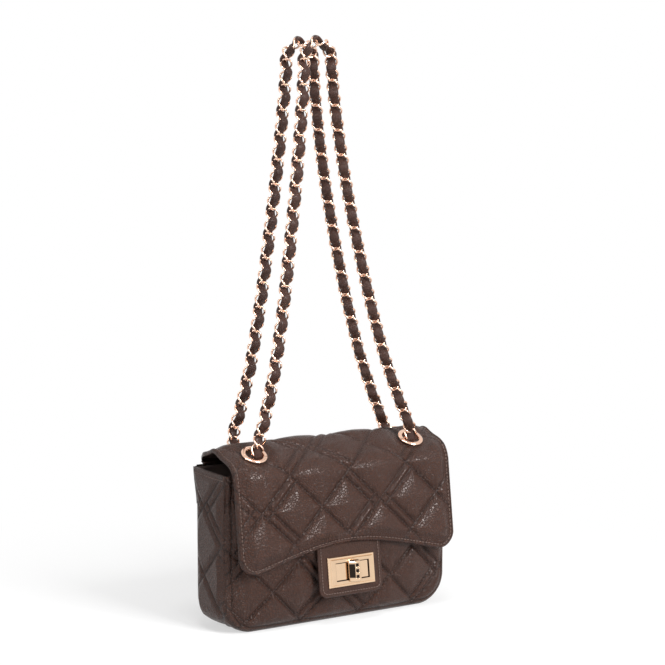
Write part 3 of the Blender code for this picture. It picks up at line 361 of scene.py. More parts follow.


# Sewn is set: this leather has painted shade in its creases.
bag_leather = grained_leather("chocolate_calf_leather", (0.043, 0.0178, 0.0114), 0.27, 0.0019, 0.00032, True)
edge_steps = (0.0, 0.0002, 0.0005, 0.0010, 0.0017, 0.0025, 0.0034)
for side, name, node in ((-1, "front_panel_quilted", "front_panel"), (1, "back_panel_quilted", "back_panel")):
    z = spaced(0.0, BAG_HEIGHT, 0.0006, edge_steps)
    share = spaced(-1.0, 1.0, 0.0062, tuple(step / BAG_HALF_WIDTH for step in edge_steps))
    z_grid, share_grid = np.meshgrid(z, share, indexing='ij')
    x_grid = share_grid * half_width_at(z_grid)
    outside = panel_face(x_grid, z_grid, side)
    facing = outside[-FACING_ROWS:][::-1].copy()
    facing[..., 1] = side * (sewn_edge_depth(facing[..., 2], side) + FACING_LIFT)
    sewn = panel_outline_distance(x_grid, z_grid)[1]
    # Distance to the quilting, the sewn edges and the welt's groove, where the finish paints shade.
    seams = np.minimum(panel_seams(x_grid, z_grid, side), sewn * 0.6 + 0.0005)
    seams = np.minimum(seams, np.abs(sewn - WELT_GROOVE[0]) + 0.0002)
    panel = sheet_of(name, np.concatenate([outside, facing]), bag_leather)
    leather_creases(panel, np.concatenate([seams, seams[-FACING_ROWS:][::-1]]))
    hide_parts(node)
    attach(panel, "bag_body")

# Gusset
# One strip of the same quilted leather, sewn to both panels with the seam turned in.
# It runs down one side, under the bottom and up the other side.

GUSSET_PUFF_SHARE = 0.75
GUSSET_PUFF_MARGIN = 0.0010
GUSSET_RAISED = 0.0008
GUSSET_EDGE = (0.0030, 0.0022)
GUSSET_LATTICE = (0.0075, 0.0803)
GUSSET_REACH = 0.1029
FLOOR_FADE = 0.012


def length_along(points):
    """Length walked to each point of a line."""
    return np.concatenate([[0.0], np.cumsum(np.linalg.norm(np.diff(points, axis=0), axis=1))])


def gusset_path(floor_points):
    """Points (x, z) along the strip with its outward directions."""
    left = [(-BAG_HALF_WIDTH, z, -1.0, 0.0) for z in np.linspace(BAG_HEIGHT, CORNER, 150)[:-1]]
    left += [(-BAG_HALF_WIDTH + CORNER * (1 - cos(t)), CORNER * (1 - sin(t)), -cos(t), -sin(t))
             for t in np.linspace(0.0, pi / 2, 56)]
    floor = [(x, 0.0, 0.0, -1.0) for x in np.linspace(CORNER - BAG_HALF_WIDTH, 0.0, floor_points)[1:]]
    right = [(-x, z, -out_x, out_z) for x, z, out_x, out_z in (left + floor)[-2::-1]]
    return np.array(left + floor + right)


def gusset_seams(depth, down):
    """Distance to the strip's nearest line of quilting, at a depth and a length down from the mouth."""
    return diamond_seams(GUSSET_LATTICE[0] - depth, down - GUSSET_LATTICE[1])


def gusset_lift(seams, edge, down, on_floor):
    """How far the strip's face stands out: puffed between its seams, rolled in at its sewn edges."""
    swell = puffed(seams, np.minimum(edge, down), GUSSET_PUFF_MARGIN) * GUSSET_PUFF_SHARE
    return (swell + GUSSET_RAISED) * (1 - on_floor) - turned_edge(edge, *GUSSET_EDGE)


path = gusset_path(120)
walked = length_along(path[:, :2])
width_share = spaced(-1.0, 1.0, 0.030, (0.0, 0.008, 0.022, 0.044, 0.075, 0.11, 0.145))
x, z, out_x, out_z = [np.repeat(column[:, None], len(width_share), axis=1) for column in path.T]
half_depth = sewn_edge_depth(z, np.sign(width_share)[None])
depth = width_share * half_depth
edge = half_depth - np.abs(depth)
down = np.repeat(np.minimum(walked, walked[-1] - walked)[:, None], len(width_share), axis=1)
seams = gusset_seams(depth, down)
on_floor = np.clip(1 - z / FLOOR_FADE, 0.0, 1.0)
lift = gusset_lift(seams, edge, down, on_floor)
strip_x = np.clip(x + out_x * lift, -GUSSET_REACH, GUSSET_REACH)
strip = np.stack([strip_x, depth, np.maximum(z + out_z * lift, 0.0)], -1)
gusset = sheet_of("gusset_quilted", strip, bag_leather)
# The finish paints shade along the strip's seams and sewn edges, less on the floor.
leather_creases(gusset, np.minimum(seams + 0.003 * on_floor, edge * 0.6 + 0.0004))
thicken(gusset, 0.0016, 1.0)
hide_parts("gusset")
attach(gusset, "bag_body")

# Quilting stitches of the panels
# Waxed brown thread, about nine stitches to the inch, lying in the seams of both panels.

STITCH = 0.0028
STITCH_LENGTH_SHARE = 0.66
FIRST_STITCH_SHARE = 0.17
STITCH_TO_EDGE = 0.0035
QUILTING_THREAD = 0.00021
THREAD_LIFT = 0.00012
LATTICE_REACH = 5
THREAD_SIDES = 6
THREAD_RINGS = ((0.0, 0.35), (0.14, 1.0), (0.86, 1.0), (1.0, 0.35))


def thread(name, starts, ends, radius, finish):
    """One mesh of short round-ended stitches, from start points to end points."""
    along = ends - starts
    length = np.linalg.norm(along, axis=1, keepdims=True)
    along = along / length
    helper = np.where(np.abs(along[:, 2:3]) < 0.9, [[0.0, 0.0, 1.0]], [[1.0, 0.0, 0.0]])
    side = np.cross(along, helper)
    side /= np.linalg.norm(side, axis=1, keepdims=True)
    other = np.cross(along, side)
    turns = [2 * pi * k / THREAD_SIDES for k in range(THREAD_SIDES)]
    rings = [starts + along * length * place + (side * cos(turn) + other * sin(turn)) * radius * size
             for place, size in THREAD_RINGS for turn in turns]
    faces = grid_faces(len(THREAD_RINGS), THREAD_SIDES, columns_meet=True, copies=len(starts))
    return new_piece(name, np.stack(rings, 1), faces.tolist(), finish)


def thread_finish(name, shade):
    """Twisted thread: fine diagonal ply and a slight sheen."""
    finish, tree, shader = new_finish(name)
    shader.inputs["Roughness"].default_value = 0.55
    place = add_node(tree, "TexCoord")
    ply = add_node(tree, "TexWave", {"Scale": 900.0}, bands_direction='DIAGONAL')
    tone = add_node(tree, "Mix", {"A": toned(shade, 0.75), "B": toned(shade, 1.2)}, data_type='RGBA')
    bump = add_node(tree, "Bump", {"Distance": 0.00008})
    join(tree, (place, "Object", ply, "Vector"), (ply, "Fac", tone, "Factor"), (tone, "Result", shader, "Base Color"),
         (ply, "Fac", bump, "Height"), (bump, "Normal", shader, "Normal"))
    return finish


def lattice_lines(reach):
    """Every stitching line of the diamonds as (fixed lattice value, family, from, to)."""
    lines = []
    for k in range(-reach, reach + 1):
        for family in (0, 1):
            lines.append((float(k), family, -float(reach), float(reach)))
            if k % 2:
                for j in range(-reach, reach):
                    side = 1.0 if j % 2 else -1.0
                    lines.append((k + DOUBLE_LINE * side, family, float(j), float(j + 1)))
    return lines


def lattice_stitches(reach):
    """Start and end of every stitch of the diamonds, in the flat, as (across, down) pairs."""
    starts, ends = [], []
    step = STITCH * sqrt(2) / LATTICE
    for value, family, low, high in lattice_lines(reach):
        places = np.arange(low + step * FIRST_STITCH_SHARE, high, step)
        for spots, shift in ((starts, 0.0), (ends, step * STITCH_LENGTH_SHARE)):
            a, b = (np.full_like(places, value), places + shift)
            if family:
                a, b = b, a
            spots.append(np.stack([(a + b) / 2, (a - b) / 2], 1) * LATTICE)
    return np.concatenate(starts), np.concatenate(ends)


quilting_thread = thread_finish("brown_thread", (0.085, 0.050, 0.042))
flat_stitches = lattice_stitches(LATTICE_REACH)
for side, name in ((-1, "front_panel_stitches"), (1, "back_panel_stitches")):
    spots, kept = [], True
    for flat in flat_stitches:
        x = flat[:, 0] + PANEL_LATTICE_X[side]
        z = PANEL_LATTICE_Z - flat[:, 1]
        on_panel = np.clip(z, 0.0, BAG_HEIGHT)
        inside = panel_outline_distance(x, on_panel)[0]
        kept = kept & (z > 0) & (z < BAG_HEIGHT) & (inside > STITCH_TO_EDGE)
        spot = panel_face(x, on_panel, side)
        spot[:, 1] += side * THREAD_LIFT
        spots.append(spot)
    stitches = thread(name, spots[0][kept], spots[1][kept], QUILTING_THREAD, quilting_thread)
    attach(stitches, "bag_body")

# Flap
# Two layers of leather with the outer one quilted; its edge is turned in and stitched all round.
# It rolls over the back of the mouth, stands up to a low ridge that carries the eyelets, and falls down the front.

FLAP_HALF_WIDTH = 0.097
FLAP_CORNER = 0.014
FLAP_SIDES_LOW = 0.0490
FLAP_WAVE = 0.0150
FLAP_NODE = (-0.02375, 0.0685)
HINGE = (0.027207, 0.12445)
ROLL = 0.00215
RIDGE_SLOPE = radians(28)
RIDGE_HEIGHT = 0.14152
RIDGE_ROUND = 0.014
SLOPE_LENGTH = 0.0225
BACK_BEND = 0.0055
FRONT_BEND = 0.016
FRONT_LEAN = radians(7.5)
EYELET_X = 0.071
EYELET_WALK = RIDGE_ROUND * RIDGE_SLOPE + SLOPE_LENGTH / 2
FLAP_EDGE = (0.0020, 0.0030)
FLAP_BEAD = (0.0014, 0.0011, 0.0006)
FLAP_SEAM_INSET = 0.0031
FLAP_GROOVE = (FLAP_SEAM_INSET, 0.0007, -0.0007)
FLAP_PUFF_MARGIN = 0.0030
PUFF_TO_EYELET = 0.0075
FLAP_SEAM_DROP = 0.0012
FLAP_STITCH_REACH = (0.0935, 0.0968)
FLAP_STITCH_TO_EDGE = 0.0048
STITCH_TO_EYELET = 0.0118
ENDS_START = 0.060
END_SHOULDERS = (0.025, 0.010, 0.0024)
END_RIDGE = 0.0014


def bend(centre_y, centre_z, radius, angles):
    """Points (y, z) of a round bend, from angles off the upright."""
    return [(centre_y + radius * sin(t), centre_z + radius * cos(t)) for t in angles]


def flap_section():
    """Points (y, z) of the outer face from inside the roll, over the ridge, to the end of the front bend."""
    lean_y, lean_z = sin(RIDGE_SLOPE), cos(RIDGE_SLOPE)
    shoulder_y = RIDGE_ROUND * lean_y
    shoulder_z = RIDGE_HEIGHT - RIDGE_ROUND * (1 - lean_z)
    end_y = shoulder_y + SLOPE_LENGTH * lean_z
    end_z = shoulder_z - SLOPE_LENGTH * lean_y
    points = [(HINGE[0] + ROLL * cos(t), HINGE[1] + ROLL * sin(t)) for t in np.linspace(-pi * 0.95, 0.0, 14)[:-1]]
    points += bend(end_y - BACK_BEND * lean_y, end_z - BACK_BEND * lean_z, BACK_BEND,
                   np.linspace(pi / 2, RIDGE_SLOPE, 9))
    slope = np.linspace(0, 1, 20)[1:-1]
    points += [(end_y + (shoulder_y - end_y) * t, end_z + (shoulder_z - end_z) * t) for t in slope]
    points += bend(0.0, RIDGE_HEIGHT - RIDGE_ROUND, RIDGE_ROUND, np.linspace(RIDGE_SLOPE, -RIDGE_SLOPE, 15))
    points += [(-shoulder_y + (shoulder_y - end_y) * t, shoulder_z + (end_z - shoulder_z) * t) for t in slope]
    points += bend(-end_y + FRONT_BEND * lean_y, end_z - FRONT_BEND * lean_z, FRONT_BEND,
                   -np.linspace(RIDGE_SLOPE, pi / 2 - FRONT_LEAN, 17))
    return np.array(points)


section = flap_section()
walk = length_along(section)
walk -= np.interp(0.0, -section[12:, 0], walk[12:])
ROLL_END, STITCH_START, LINING_START, SLOPE_START, QUILT_START = walk[[14, 16, 21, 22, 24]]
BEND_END = walk[-1]
FRONT_TOP = section[-1]


def flap_edge_height(x):
    """Height of the lower edge: round corners at the sides and one long wave between them."""
    across = np.abs(x)
    share = np.clip(across / (FLAP_HALF_WIDTH - FLAP_CORNER), 0.0, 1.0)
    rise = 0.35 * 0.5 * (1 + np.cos(pi * share)) + 0.65 * (1 - share ** 2)
    past = np.clip(across - (FLAP_HALF_WIDTH - FLAP_CORNER), 0.0, FLAP_CORNER)
    return FLAP_SIDES_LOW + FLAP_WAVE * rise + FLAP_CORNER - np.sqrt(FLAP_CORNER ** 2 - past ** 2)


def walk_to_height(z):
    """Length along the flap at which its straight front is at a height."""
    return BEND_END + (FRONT_TOP[1] - z) / cos(FRONT_LEAN)


def flap_place(s):
    """Place (y, z) of the flap's section at a length along it."""
    beyond = np.maximum(s - BEND_END, 0.0)
    return (np.interp(s, walk, section[:, 0]) - beyond * sin(FRONT_LEAN),
            np.interp(s, walk, section[:, 1]) - beyond * cos(FRONT_LEAN))


def flap_frame(s):
    """Place (y, z) and outward direction of the flap's section at a length along it."""
    y, z = flap_place(s)
    ahead_y, ahead_z = flap_place(s + 0.0004)
    dy, dz = ahead_y - y, ahead_z - z
    size = np.maximum(np.hypot(dy, dz), 1e-9)
    return y, z, dz / size, -dy / size


def flap_edge_distance(x, s):
    """Distance inside the flap's sides and its waved lower edge."""
    low = walk_to_height(flap_edge_height(x)) - s
    slope = (flap_edge_height(np.abs(x) - 0.0005) - flap_edge_height(np.abs(x) + 0.0005)) / cos(FRONT_LEAN) / 0.001
    return np.minimum(FLAP_HALF_WIDTH - np.abs(x), low / np.sqrt(1 + np.clip(slope, -4, 4) ** 2))


def flap_end_shape(x, s):
    """How far the flap's soft ends sink at the ridge and round out at its shoulders."""
    sag = ridge(np.abs(s), *END_SHOULDERS) - END_RIDGE * np.clip(1 - (s / 0.030) ** 2, 0.0, 1.0)
    return sag * eased((np.abs(x) - ENDS_START) / (FLAP_HALF_WIDTH - ENDS_START))


def narrowed(x, s):
    """The flap is cut narrower towards its hinge, so that it clears the gusset's corners."""
    return x * (1 - 0.055 * eased((-s - 0.016) / 0.022))


def from_eyelet(x, s):
    """Distance from the middle of the nearest eyelet."""
    return np.hypot(np.abs(x) - EYELET_X, np.abs(s) - EYELET_WALK)


def flap_face(x, s, sink=0.0):
    """A point of the flap's outer face; the quilting fades at the eyelets, over the ridge and towards the hinge."""
    inside = flap_edge_distance(x, s)
    seams = diamond_seams(x - FLAP_NODE[0], s - FLAP_NODE[1])
    swell = puffed(seams, np.minimum(inside, from_eyelet(x, s) - PUFF_TO_EYELET), FLAP_PUFF_MARGIN)
    swell *= np.clip((s - SLOPE_START) / 0.014, 0.0, 1.0) * (1 - ridge(s, 0.0, 0.030, 0.5))
    raised = swell + ridge(inside, *FLAP_BEAD) + ridge(inside, *FLAP_GROOVE) - FLAP_SEAM_DROP
    raised *= np.clip((s - ROLL_END) / 0.006, 0.0, 1.0)
    lift = raised + flap_end_shape(x, s) - turned_edge(inside, *FLAP_EDGE) - sink
    y, z, out_y, out_z = flap_frame(s)
    return np.stack([narrowed(x, s), y + out_y * lift, z + out_z * lift], -1)


def flap_grid(x, upper, inset, front_share):
    """Places (x, s) in rows: level ones over the top, then ones that bend down to the waved edge."""
    low = walk_to_height(flap_edge_height(x)) - inset
    rows = [np.full_like(x, s) for s in upper]
    rows += [BEND_END + (low - BEND_END) * share for share in front_share]
    return np.repeat(x[None, :], len(rows), axis=0), np.stack(rows)


x = spaced(-FLAP_HALF_WIDTH, FLAP_HALF_WIDTH, 0.0006, (0.0, 0.0001, 0.0004, 0.0009, 0.0015, 0.0022, 0.0030))
upper = np.concatenate([walk[:14], np.arange(ROLL_END, BEND_END, 0.0006)])
front_share = spaced(0.0, 1.0, 0.0085, (0.0, 0.0015, 0.0055, 0.012, 0.021, 0.030, 0.040))[3:]
x_grid, s_grid = flap_grid(x, upper, 0.0, front_share)
flap = sheet_of("flap_quilted", flap_face(x_grid, s_grid), bag_leather)
# Distance to the quilting and to the edge stitching, where the finish paints shade into the creases.
seams = diamond_seams(x_grid - FLAP_NODE[0], s_grid - FLAP_NODE[1]) + 0.002 * (s_grid < QUILT_START)
leather_creases(flap, np.minimum(seams, np.abs(flap_edge_distance(x_grid, s_grid) - FLAP_SEAM_INSET) + 0.0003))
thicken(flap, 0.0011, -1.0)
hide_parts("flap_outer")
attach(flap, "flap")

spots, kept = [], True
for flat in flat_stitches:
    x, s = (flat + np.array(FLAP_NODE)).T
    in_reach = np.clip(x, -FLAP_STITCH_REACH[1], FLAP_STITCH_REACH[1])
    kept = kept & (np.abs(x) < FLAP_STITCH_REACH[0]) & (flap_edge_distance(in_reach, s) > FLAP_STITCH_TO_EDGE)
    kept = kept & (s > QUILT_START) & (from_eyelet(x, s) > STITCH_TO_EYELET)
    spots.append(flap_face(x, s, -THREAD_LIFT))
stitches = thread("flap_stitches", spots[0][kept], spots[1][kept], QUILTING_THREAD, quilting_thread)
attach(stitches, "flap")

# Top stitching round the flap's edge
# A heavier brown thread, three millimetres in from the turned edge.

EDGE_STITCH = 0.0021
EDGE_STITCH_PITCH = 0.0029
EDGE_THREAD_LIFT = 0.0002
LINE_STEP = 0.0002


def stitches_along(name, line, first, pitch, length, radius):
    """Stitches of one pitch and length along a line of points."""
    run = length_along(line)
    starts = np.arange(first, run[-1] - 0.003, pitch)
    spots = [np.stack([np.interp(starts + shift, run, line[:, k]) for k in range(3)], 1) for shift in (0.0, length)]
    return thread(name, spots[0], spots[1], radius, edge_thread)


edge_thread = thread_finish("edge_thread", (0.135, 0.088, 0.072))
seam_half_width = FLAP_HALF_WIDTH - FLAP_SEAM_INSET
x = np.linspace(-seam_half_width, seam_half_width, 1500)
across = np.minimum(np.abs(x), FLAP_HALF_WIDTH - FLAP_CORNER)
corner = FLAP_CORNER - FLAP_SEAM_INSET
past = np.clip(np.abs(x) - across, 0.0, corner)
s_low = walk_to_height(flap_edge_height(across) + FLAP_CORNER - np.sqrt(corner ** 2 - past ** 2))
down = np.arange(STITCH_START, s_low[0], LINE_STEP)
line_x = np.concatenate([np.full_like(down, x[0]), x, np.full_like(down, x[-1])])
line = flap_face(line_x, np.concatenate([down, s_low, down[::-1]]), -EDGE_THREAD_LIFT)
stitches = stitches_along("flap_edge_stitches", line, 0.0005, EDGE_STITCH_PITCH, EDGE_STITCH, 0.00038)
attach(stitches, "flap")

# Flap lining
# Smooth leather glued under the flap, a little smaller than it, turned and stitched with it.

LINING_INSET = 0.0012
LINING_DEPTH = 0.0031

lining_leather = grained_leather("dark_lining_leather", (0.050, 0.028, 0.023), 0.48, 0.0009, 0.00008)
lining_half_width = FLAP_HALF_WIDTH - LINING_INSET
x = spaced(-lining_half_width, lining_half_width, 0.0040, (0.0, 0.0004, 0.0010))
x_grid, s_grid = flap_grid(x, np.linspace(LINING_START, BEND_END, 70)[:-1], LINING_INSET, np.linspace(0.0, 1.0, 30))
y, z, out_y, out_z = flap_frame(s_grid)
low = LINING_DEPTH - flap_end_shape(x_grid, s_grid)
under = np.stack([narrowed(x_grid, s_grid), y - out_y * low, z - out_z * low], -1)
flap_lining = sheet_of("flap_lining_sheet", under, lining_leather)
thicken(flap_lining, 0.0009, -1.0)
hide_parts("flap_lining")
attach(flap_lining, "flap")

# Inside of the bag
# A plain woven lining sewn in at the mouth: front and back walls, and a strip that covers the board.
# The back wall has a slit for the zip pocket.

CLOTH = 0.0005
CLOTH_TOP = 0.1215
CLOTH_BOTTOM = 0.0055
CLOTH_TO_SIDE = 0.0023
CLOTH_TO_SEAM = 0.0008
CLOTH_SAG = 0.0006
STRIP_TO_GUSSET = 0.0024
STRIP_TO_SEAM = 0.0013
BOARD_LIFT = 0.0030
POCKET_HEIGHT = 0.080
SLIT_HALF = (0.0485, 0.0042)


def woven_cloth(name, shade, pitch):
    """Plain weave: two crossing sets of fine yarns with slight changes of tone."""
    finish, tree, shader = new_finish(name)
    shader.inputs["Roughness"].default_value = 0.85
    shader.inputs["Sheen Weight"].default_value = 0.25
    place = add_node(tree, "TexCoord")
    warp, weft = [add_node(tree, "TexWave", {"Scale": 0.314 / pitch, "Distortion": 0.4}, bands_direction=way)
                  for way in ('X', 'Z')]
    weave = add_node(tree, "Math", operation='MAXIMUM')
    slub = add_node(tree, "TexNoise", {"Scale": 180.0})
    tone = add_node(tree, "Mix", {"A": toned(shade, 0.7), "B": toned(shade, 1.15)}, data_type='RGBA')
    mixed = add_node(tree, "Math", operation='MULTIPLY')
    bump = add_node(tree, "Bump", {"Distance": 0.0001})
    join(tree, (place, "Object", warp, "Vector"), (place, "Object", weft, "Vector"), (place, "Object", slub, "Vector"),
         (warp, "Fac", weave, 0), (weft, "Fac", weave, 1), (weave, 0, mixed, 0), (slub, "Fac", mixed, 1),
         (mixed, 0, tone, "Factor"), (tone, "Result", shader, "Base Color"), (weave, 0, bump, "Height"),
         (bump, "Normal", shader, "Normal"))
    return finish


def cut_out(sheet, indices):
    """Takes faces out of a sheet."""
    cut = bmesh.new()
    cut.from_mesh(sheet.data)
    cut.faces.ensure_lookup_table()
    bmesh.ops.delete(cut, geom=[cut.faces[i] for i in indices], context='FACES')
    cut.to_mesh(sheet.data)
    cut.free()


lining_cloth = woven_cloth("brown_woven_lining", (0.070, 0.040, 0.032), CLOTH)
for side, name, node in ((-1, "lining_front_cloth", "lining_front"), (1, "lining_back_cloth", "lining_back")):
    z_grid, share_grid = np.meshgrid(np.linspace(CLOTH_BOTTOM, CLOTH_TOP, 60), np.linspace(-1.0, 1.0, 81),
                                     indexing='ij')
    x_grid = share_grid * (half_width_at(z_grid) - CLOTH_TO_SIDE)
    sag = CLOTH_SAG * np.sin(x_grid * 95 + side) * np.sin(z_grid * 130) * np.clip((0.118 - z_grid) / 0.02, 0.0, 1.0)
    y_grid = side * (sewn_edge_depth(z_grid, side) - CLOTH_TO_SEAM) - sag
    wall = sheet_of(name, np.stack([x_grid, y_grid, z_grid], -1), lining_cloth)
    if side > 0:
        cut_out(wall, [face.index for face in wall.data.polygons
                       if abs(face.center.x) < SLIT_HALF[0] and abs(face.center.z - POCKET_HEIGHT) < SLIT_HALF[1]])
    thicken(wall, CLOTH, 0.0)
    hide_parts(node)
    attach(wall, "bag_body")

x, z, out_x, out_z = [column[:, None] for column in path.T]
share = np.linspace(-1.0, 1.0, 15)[None]
depth = share * (sewn_edge_depth(z, np.sign(share)) - STRIP_TO_SEAM)
inner_z = np.minimum(z - out_z * STRIP_TO_GUSSET + BOARD_LIFT * np.maximum(-out_z, 0.0), CLOTH_TOP)
strip = np.stack(np.broadcast_arrays(x - out_x * STRIP_TO_GUSSET, depth, inner_z), -1)
strip_cloth = sheet_of("lining_strip_cloth", strip, lining_cloth)
thicken(strip_cloth, CLOTH, 0.0)
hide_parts("lining_side_strip")
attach(strip_cloth, "bag_body")

# Mouth binding
# The panels' top edges are turned over a narrow facing and stitched down all round the mouth.
# A thin welt covers the seam where the flap joins the back panel.

MOUTH_THREAD = 0.00028
MOUTH_STITCH_REACH = 0.0975
GUSSET_STITCH_RANGE = (-0.0215, 0.0232)
PANEL_STITCH_DOWN = 0.0034
GUSSET_STITCH_DOWN = 0.0036
BINDING_LIFT = 0.0001
WELT_ROUND = 0.0007
WELT_REACH = 0.0965
WELT_OFFSET = (0.0004, 0.0002)

x = np.linspace(-MOUTH_STITCH_REACH, MOUTH_STITCH_REACH, 260)
for side, name in ((-1, "front_mouth_stitches"), (1, "back_mouth_stitches")):
    line = panel_face(x, np.full_like(x, BAG_HEIGHT - PANEL_STITCH_DOWN), side)
    line[:, 1] += side * BINDING_LIFT
    stitches = stitches_along(name, line, 0.0, EDGE_STITCH_PITCH, EDGE_STITCH, MOUTH_THREAD)
    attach(stitches, "bag_body")

stitch_z = BAG_HEIGHT - GUSSET_STITCH_DOWN
for side, name in ((-1, "left_gusset_stitches"), (1, "right_gusset_stitches")):
    first = np.arange(*GUSSET_STITCH_RANGE, EDGE_STITCH_PITCH)
    spots = []
    for y in (first, first + EDGE_STITCH):
        edge = sewn_edge_depth(stitch_z, np.sign(y)) - np.abs(y)
        lift = gusset_lift(gusset_seams(y, GUSSET_STITCH_DOWN), edge, GUSSET_STITCH_DOWN, 0.0)
        spots.append(np.stack([side * (BAG_HALF_WIDTH + lift + BINDING_LIFT), y, np.full_like(y, stitch_z)], 1))
    stitches = thread(name, spots[0], spots[1], MOUTH_THREAD, edge_thread)
    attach(stitches, "bag_body")

around = np.linspace(0.0, 2 * pi, 9)[None]
welt_y = HINGE[0] + WELT_OFFSET[0] + WELT_ROUND * np.cos(around)
welt_z = BAG_HEIGHT + WELT_OFFSET[1] + WELT_ROUND * np.sin(around)
welt = np.stack(np.broadcast_arrays(np.linspace(-WELT_REACH, WELT_REACH, 80)[:, None], welt_y, welt_z), -1)
# The welt carries no seam distance, so the finish paints it with the full crease shade.
welt = sheet_of("back_seam_welt", welt, bag_leather)
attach(welt, "bag_body")

# Base board and inner pocket bag
# Grey-brown fibre board lies under the lining, and a pouch of thin cloth hangs behind the slit.

POUCH_COLUMNS = 33
POUCH_ROWS = 17
POUCH_BELLY = 0.0006
POUCH_CLEARANCE = 0.0002


def refinish(node, finish):
    """Puts a finish on a piece that keeps its solid's shape."""
    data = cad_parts[node].data
    data.materials.clear()
    data.materials.append(finish)


board_finish, tree, shader = new_finish("fibre_board")
shader.inputs["Roughness"].default_value = 0.9
place = add_node(tree, "TexCoord")
fibres = add_node(tree, "TexNoise", {"Scale": 900.0, "Detail": 6.0})
tone = add_node(tree, "Mix", {"A": (0.20, 0.15, 0.11, 1.0), "B": (0.30, 0.24, 0.18, 1.0)}, data_type='RGBA')
join(tree, (place, "Object", fibres, "Vector"), (fibres, "Fac", tone, "Factor"), (tone, "Result", shader, "Base Color"))
refinish("base_board", board_finish)

pouch_low, pouch_high = [np.array(corner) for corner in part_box("zip_pocket_bag")]
share = np.linspace(0.0, 1.0, POUCH_COLUMNS)[None]
drop = np.linspace(0.0, 1.0, POUCH_ROWS)[:, None]
belly = np.sin(pi * share) * np.sin(pi * drop) * POUCH_BELLY + POUCH_CLEARANCE
x = pouch_low[0] + (pouch_high[0] - pouch_low[0]) * share
z = pouch_low[2] + (pouch_high[2] - pouch_low[2]) * drop
near = np.stack(np.broadcast_arrays(x, pouch_low[1] + belly, z), -1)
far = np.stack(np.broadcast_arrays(x, pouch_high[1] - belly, z), -1)
pouch = sheet_of("pocket_bag_cloth", np.concatenate([near[::-1], far]), lining_cloth)
thicken(pouch, 0.0003, -1.0)
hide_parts("zip_pocket_bag")
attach(pouch, "bag_body")

# Lock tab
# A plain leather tab with rounded lower corners, sewn in under the flap's lower edge, and its glued backing.
# It leans with the flap's front and has a slot through which the lock's base stands.

LOCK_PLACE = np.array([0.0, -0.044634, LOCK_HEIGHT])
TAB_HALF_WIDTH = 0.0286
TAB_LOW = -0.0188
TAB_HIGH = 0.0295
TAB_CORNER = 0.0070
TAB_SLOT_HALF = (0.0152, 0.0073)
TAB_EDGE = 0.0012
TAB_BEAD = (0.0016, 0.0010)
TAB_GROOVE = (0.0028, 0.0005)
TAB_RELIEF_SHARE = 0.35
TAB_FACE = 0.0045
TAB_THREAD_DEPTH = 0.0041


def leaned(x, y, z):
    """Points of the lock's own upright frame (y inwards) placed on the leaning front of the flap."""
    x, y, z = np.broadcast_arrays(x, y, z)
    back = y * cos(FRONT_LEAN) + z * sin(FRONT_LEAN)
    up = -y * sin(FRONT_LEAN) + z * cos(FRONT_LEAN)
    return np.stack([x, back, up], -1) + LOCK_PLACE


def tab_half_width(z, inset):
    """Half the tab's width at a height, for an outline inset all round."""
    radius = TAB_CORNER - inset
    rise = np.clip(z - TAB_LOW - inset, 0.0, radius)
    return TAB_HALF_WIDTH - inset - radius + np.sqrt(np.maximum(radius ** 2 - (radius - rise) ** 2, 0.0))


def tab_layer(name, inset, face_depth, roll, thickness, finish):
    """One layer of the tab, with its edge rolled in and a slot for the lock."""
    z = spaced(TAB_LOW + inset, TAB_HIGH, 0.0011, (0.0, 0.0001, 0.0003, 0.0007, 0.0013))
    share = spaced(-1.0, 1.0, 0.037, (0.0, 0.006, 0.02, 0.045, 0.08))
    z_grid, share_grid = np.meshgrid(z, share, indexing='ij')
    x_grid = share_grid * tab_half_width(z_grid, inset)
    past_x = np.maximum(np.abs(x_grid) - (TAB_HALF_WIDTH - TAB_CORNER), 0.0)
    past_z = np.maximum(TAB_LOW + TAB_CORNER - z_grid, 0.0)
    straight = np.minimum(TAB_HALF_WIDTH - inset - np.abs(x_grid), z_grid - TAB_LOW - inset)
    edge = np.where((past_x > 0) & (past_z > 0), TAB_CORNER - inset - np.hypot(past_x, past_z), straight)
    relief = roll * TAB_RELIEF_SHARE
    depth = face_depth + turned_edge(np.maximum(edge, 0.0), TAB_EDGE, roll)
    depth -= ridge(edge, *TAB_BEAD, relief) - ridge(edge, *TAB_GROOVE, relief)
    layer = sheet_of(name, leaned(x_grid, depth, z_grid), finish)
    in_slot = (np.abs(x_grid) < TAB_SLOT_HALF[0]) & (np.abs(z_grid) < TAB_SLOT_HALF[1])
    in_slot = in_slot[:-1, :-1] & in_slot[1:, 1:] & in_slot[:-1, 1:] & in_slot[1:, :-1]
    cut_out(layer, np.flatnonzero(in_slot))
    thicken(layer, thickness, 1.0)
    return layer


tab_leather = grained_leather("smooth_tab_leather", (0.043, 0.0180, 0.0118), 0.36, 0.0012, 0.00018)
tab = tab_layer("lock_tab_leather", 0.0, TAB_FACE, 0.0009, 0.0015, tab_leather)
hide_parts("lock_tab")
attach(tab, "flap")
backing = tab_layer("lock_tab_lining", 0.0016, 0.0064, 0.0003, 0.0007, lining_leather)
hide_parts("lock_tab_backing")
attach(backing, "flap")

inset = TAB_GROOVE[0]
corner = TAB_CORNER - inset
side_x = TAB_HALF_WIDTH - inset
z = np.arange(TAB_HIGH - 0.002, TAB_LOW + TAB_CORNER, -LINE_STEP)
x = np.arange(-side_x + corner, side_x - corner, LINE_STEP)
t = np.linspace(0.0, pi / 2, 60)[1:-1]
round_corner = np.stack([-side_x + corner * (1 - np.cos(t)), TAB_LOW + inset + corner * (1 - np.sin(t))], 1)
left = np.concatenate([np.stack([np.full_like(z, -side_x), z], 1), round_corner])
track = np.concatenate([left, np.stack([x, np.full_like(x, TAB_LOW + inset)], 1), (left * [-1, 1])[::-1]])
line = leaned(track[:, 0], TAB_THREAD_DEPTH, track[:, 1])
stitches = stitches_along("tab_stitches", line, 0.0005, 0.0024, 0.0017, 0.00034)
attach(stitches, "flap")
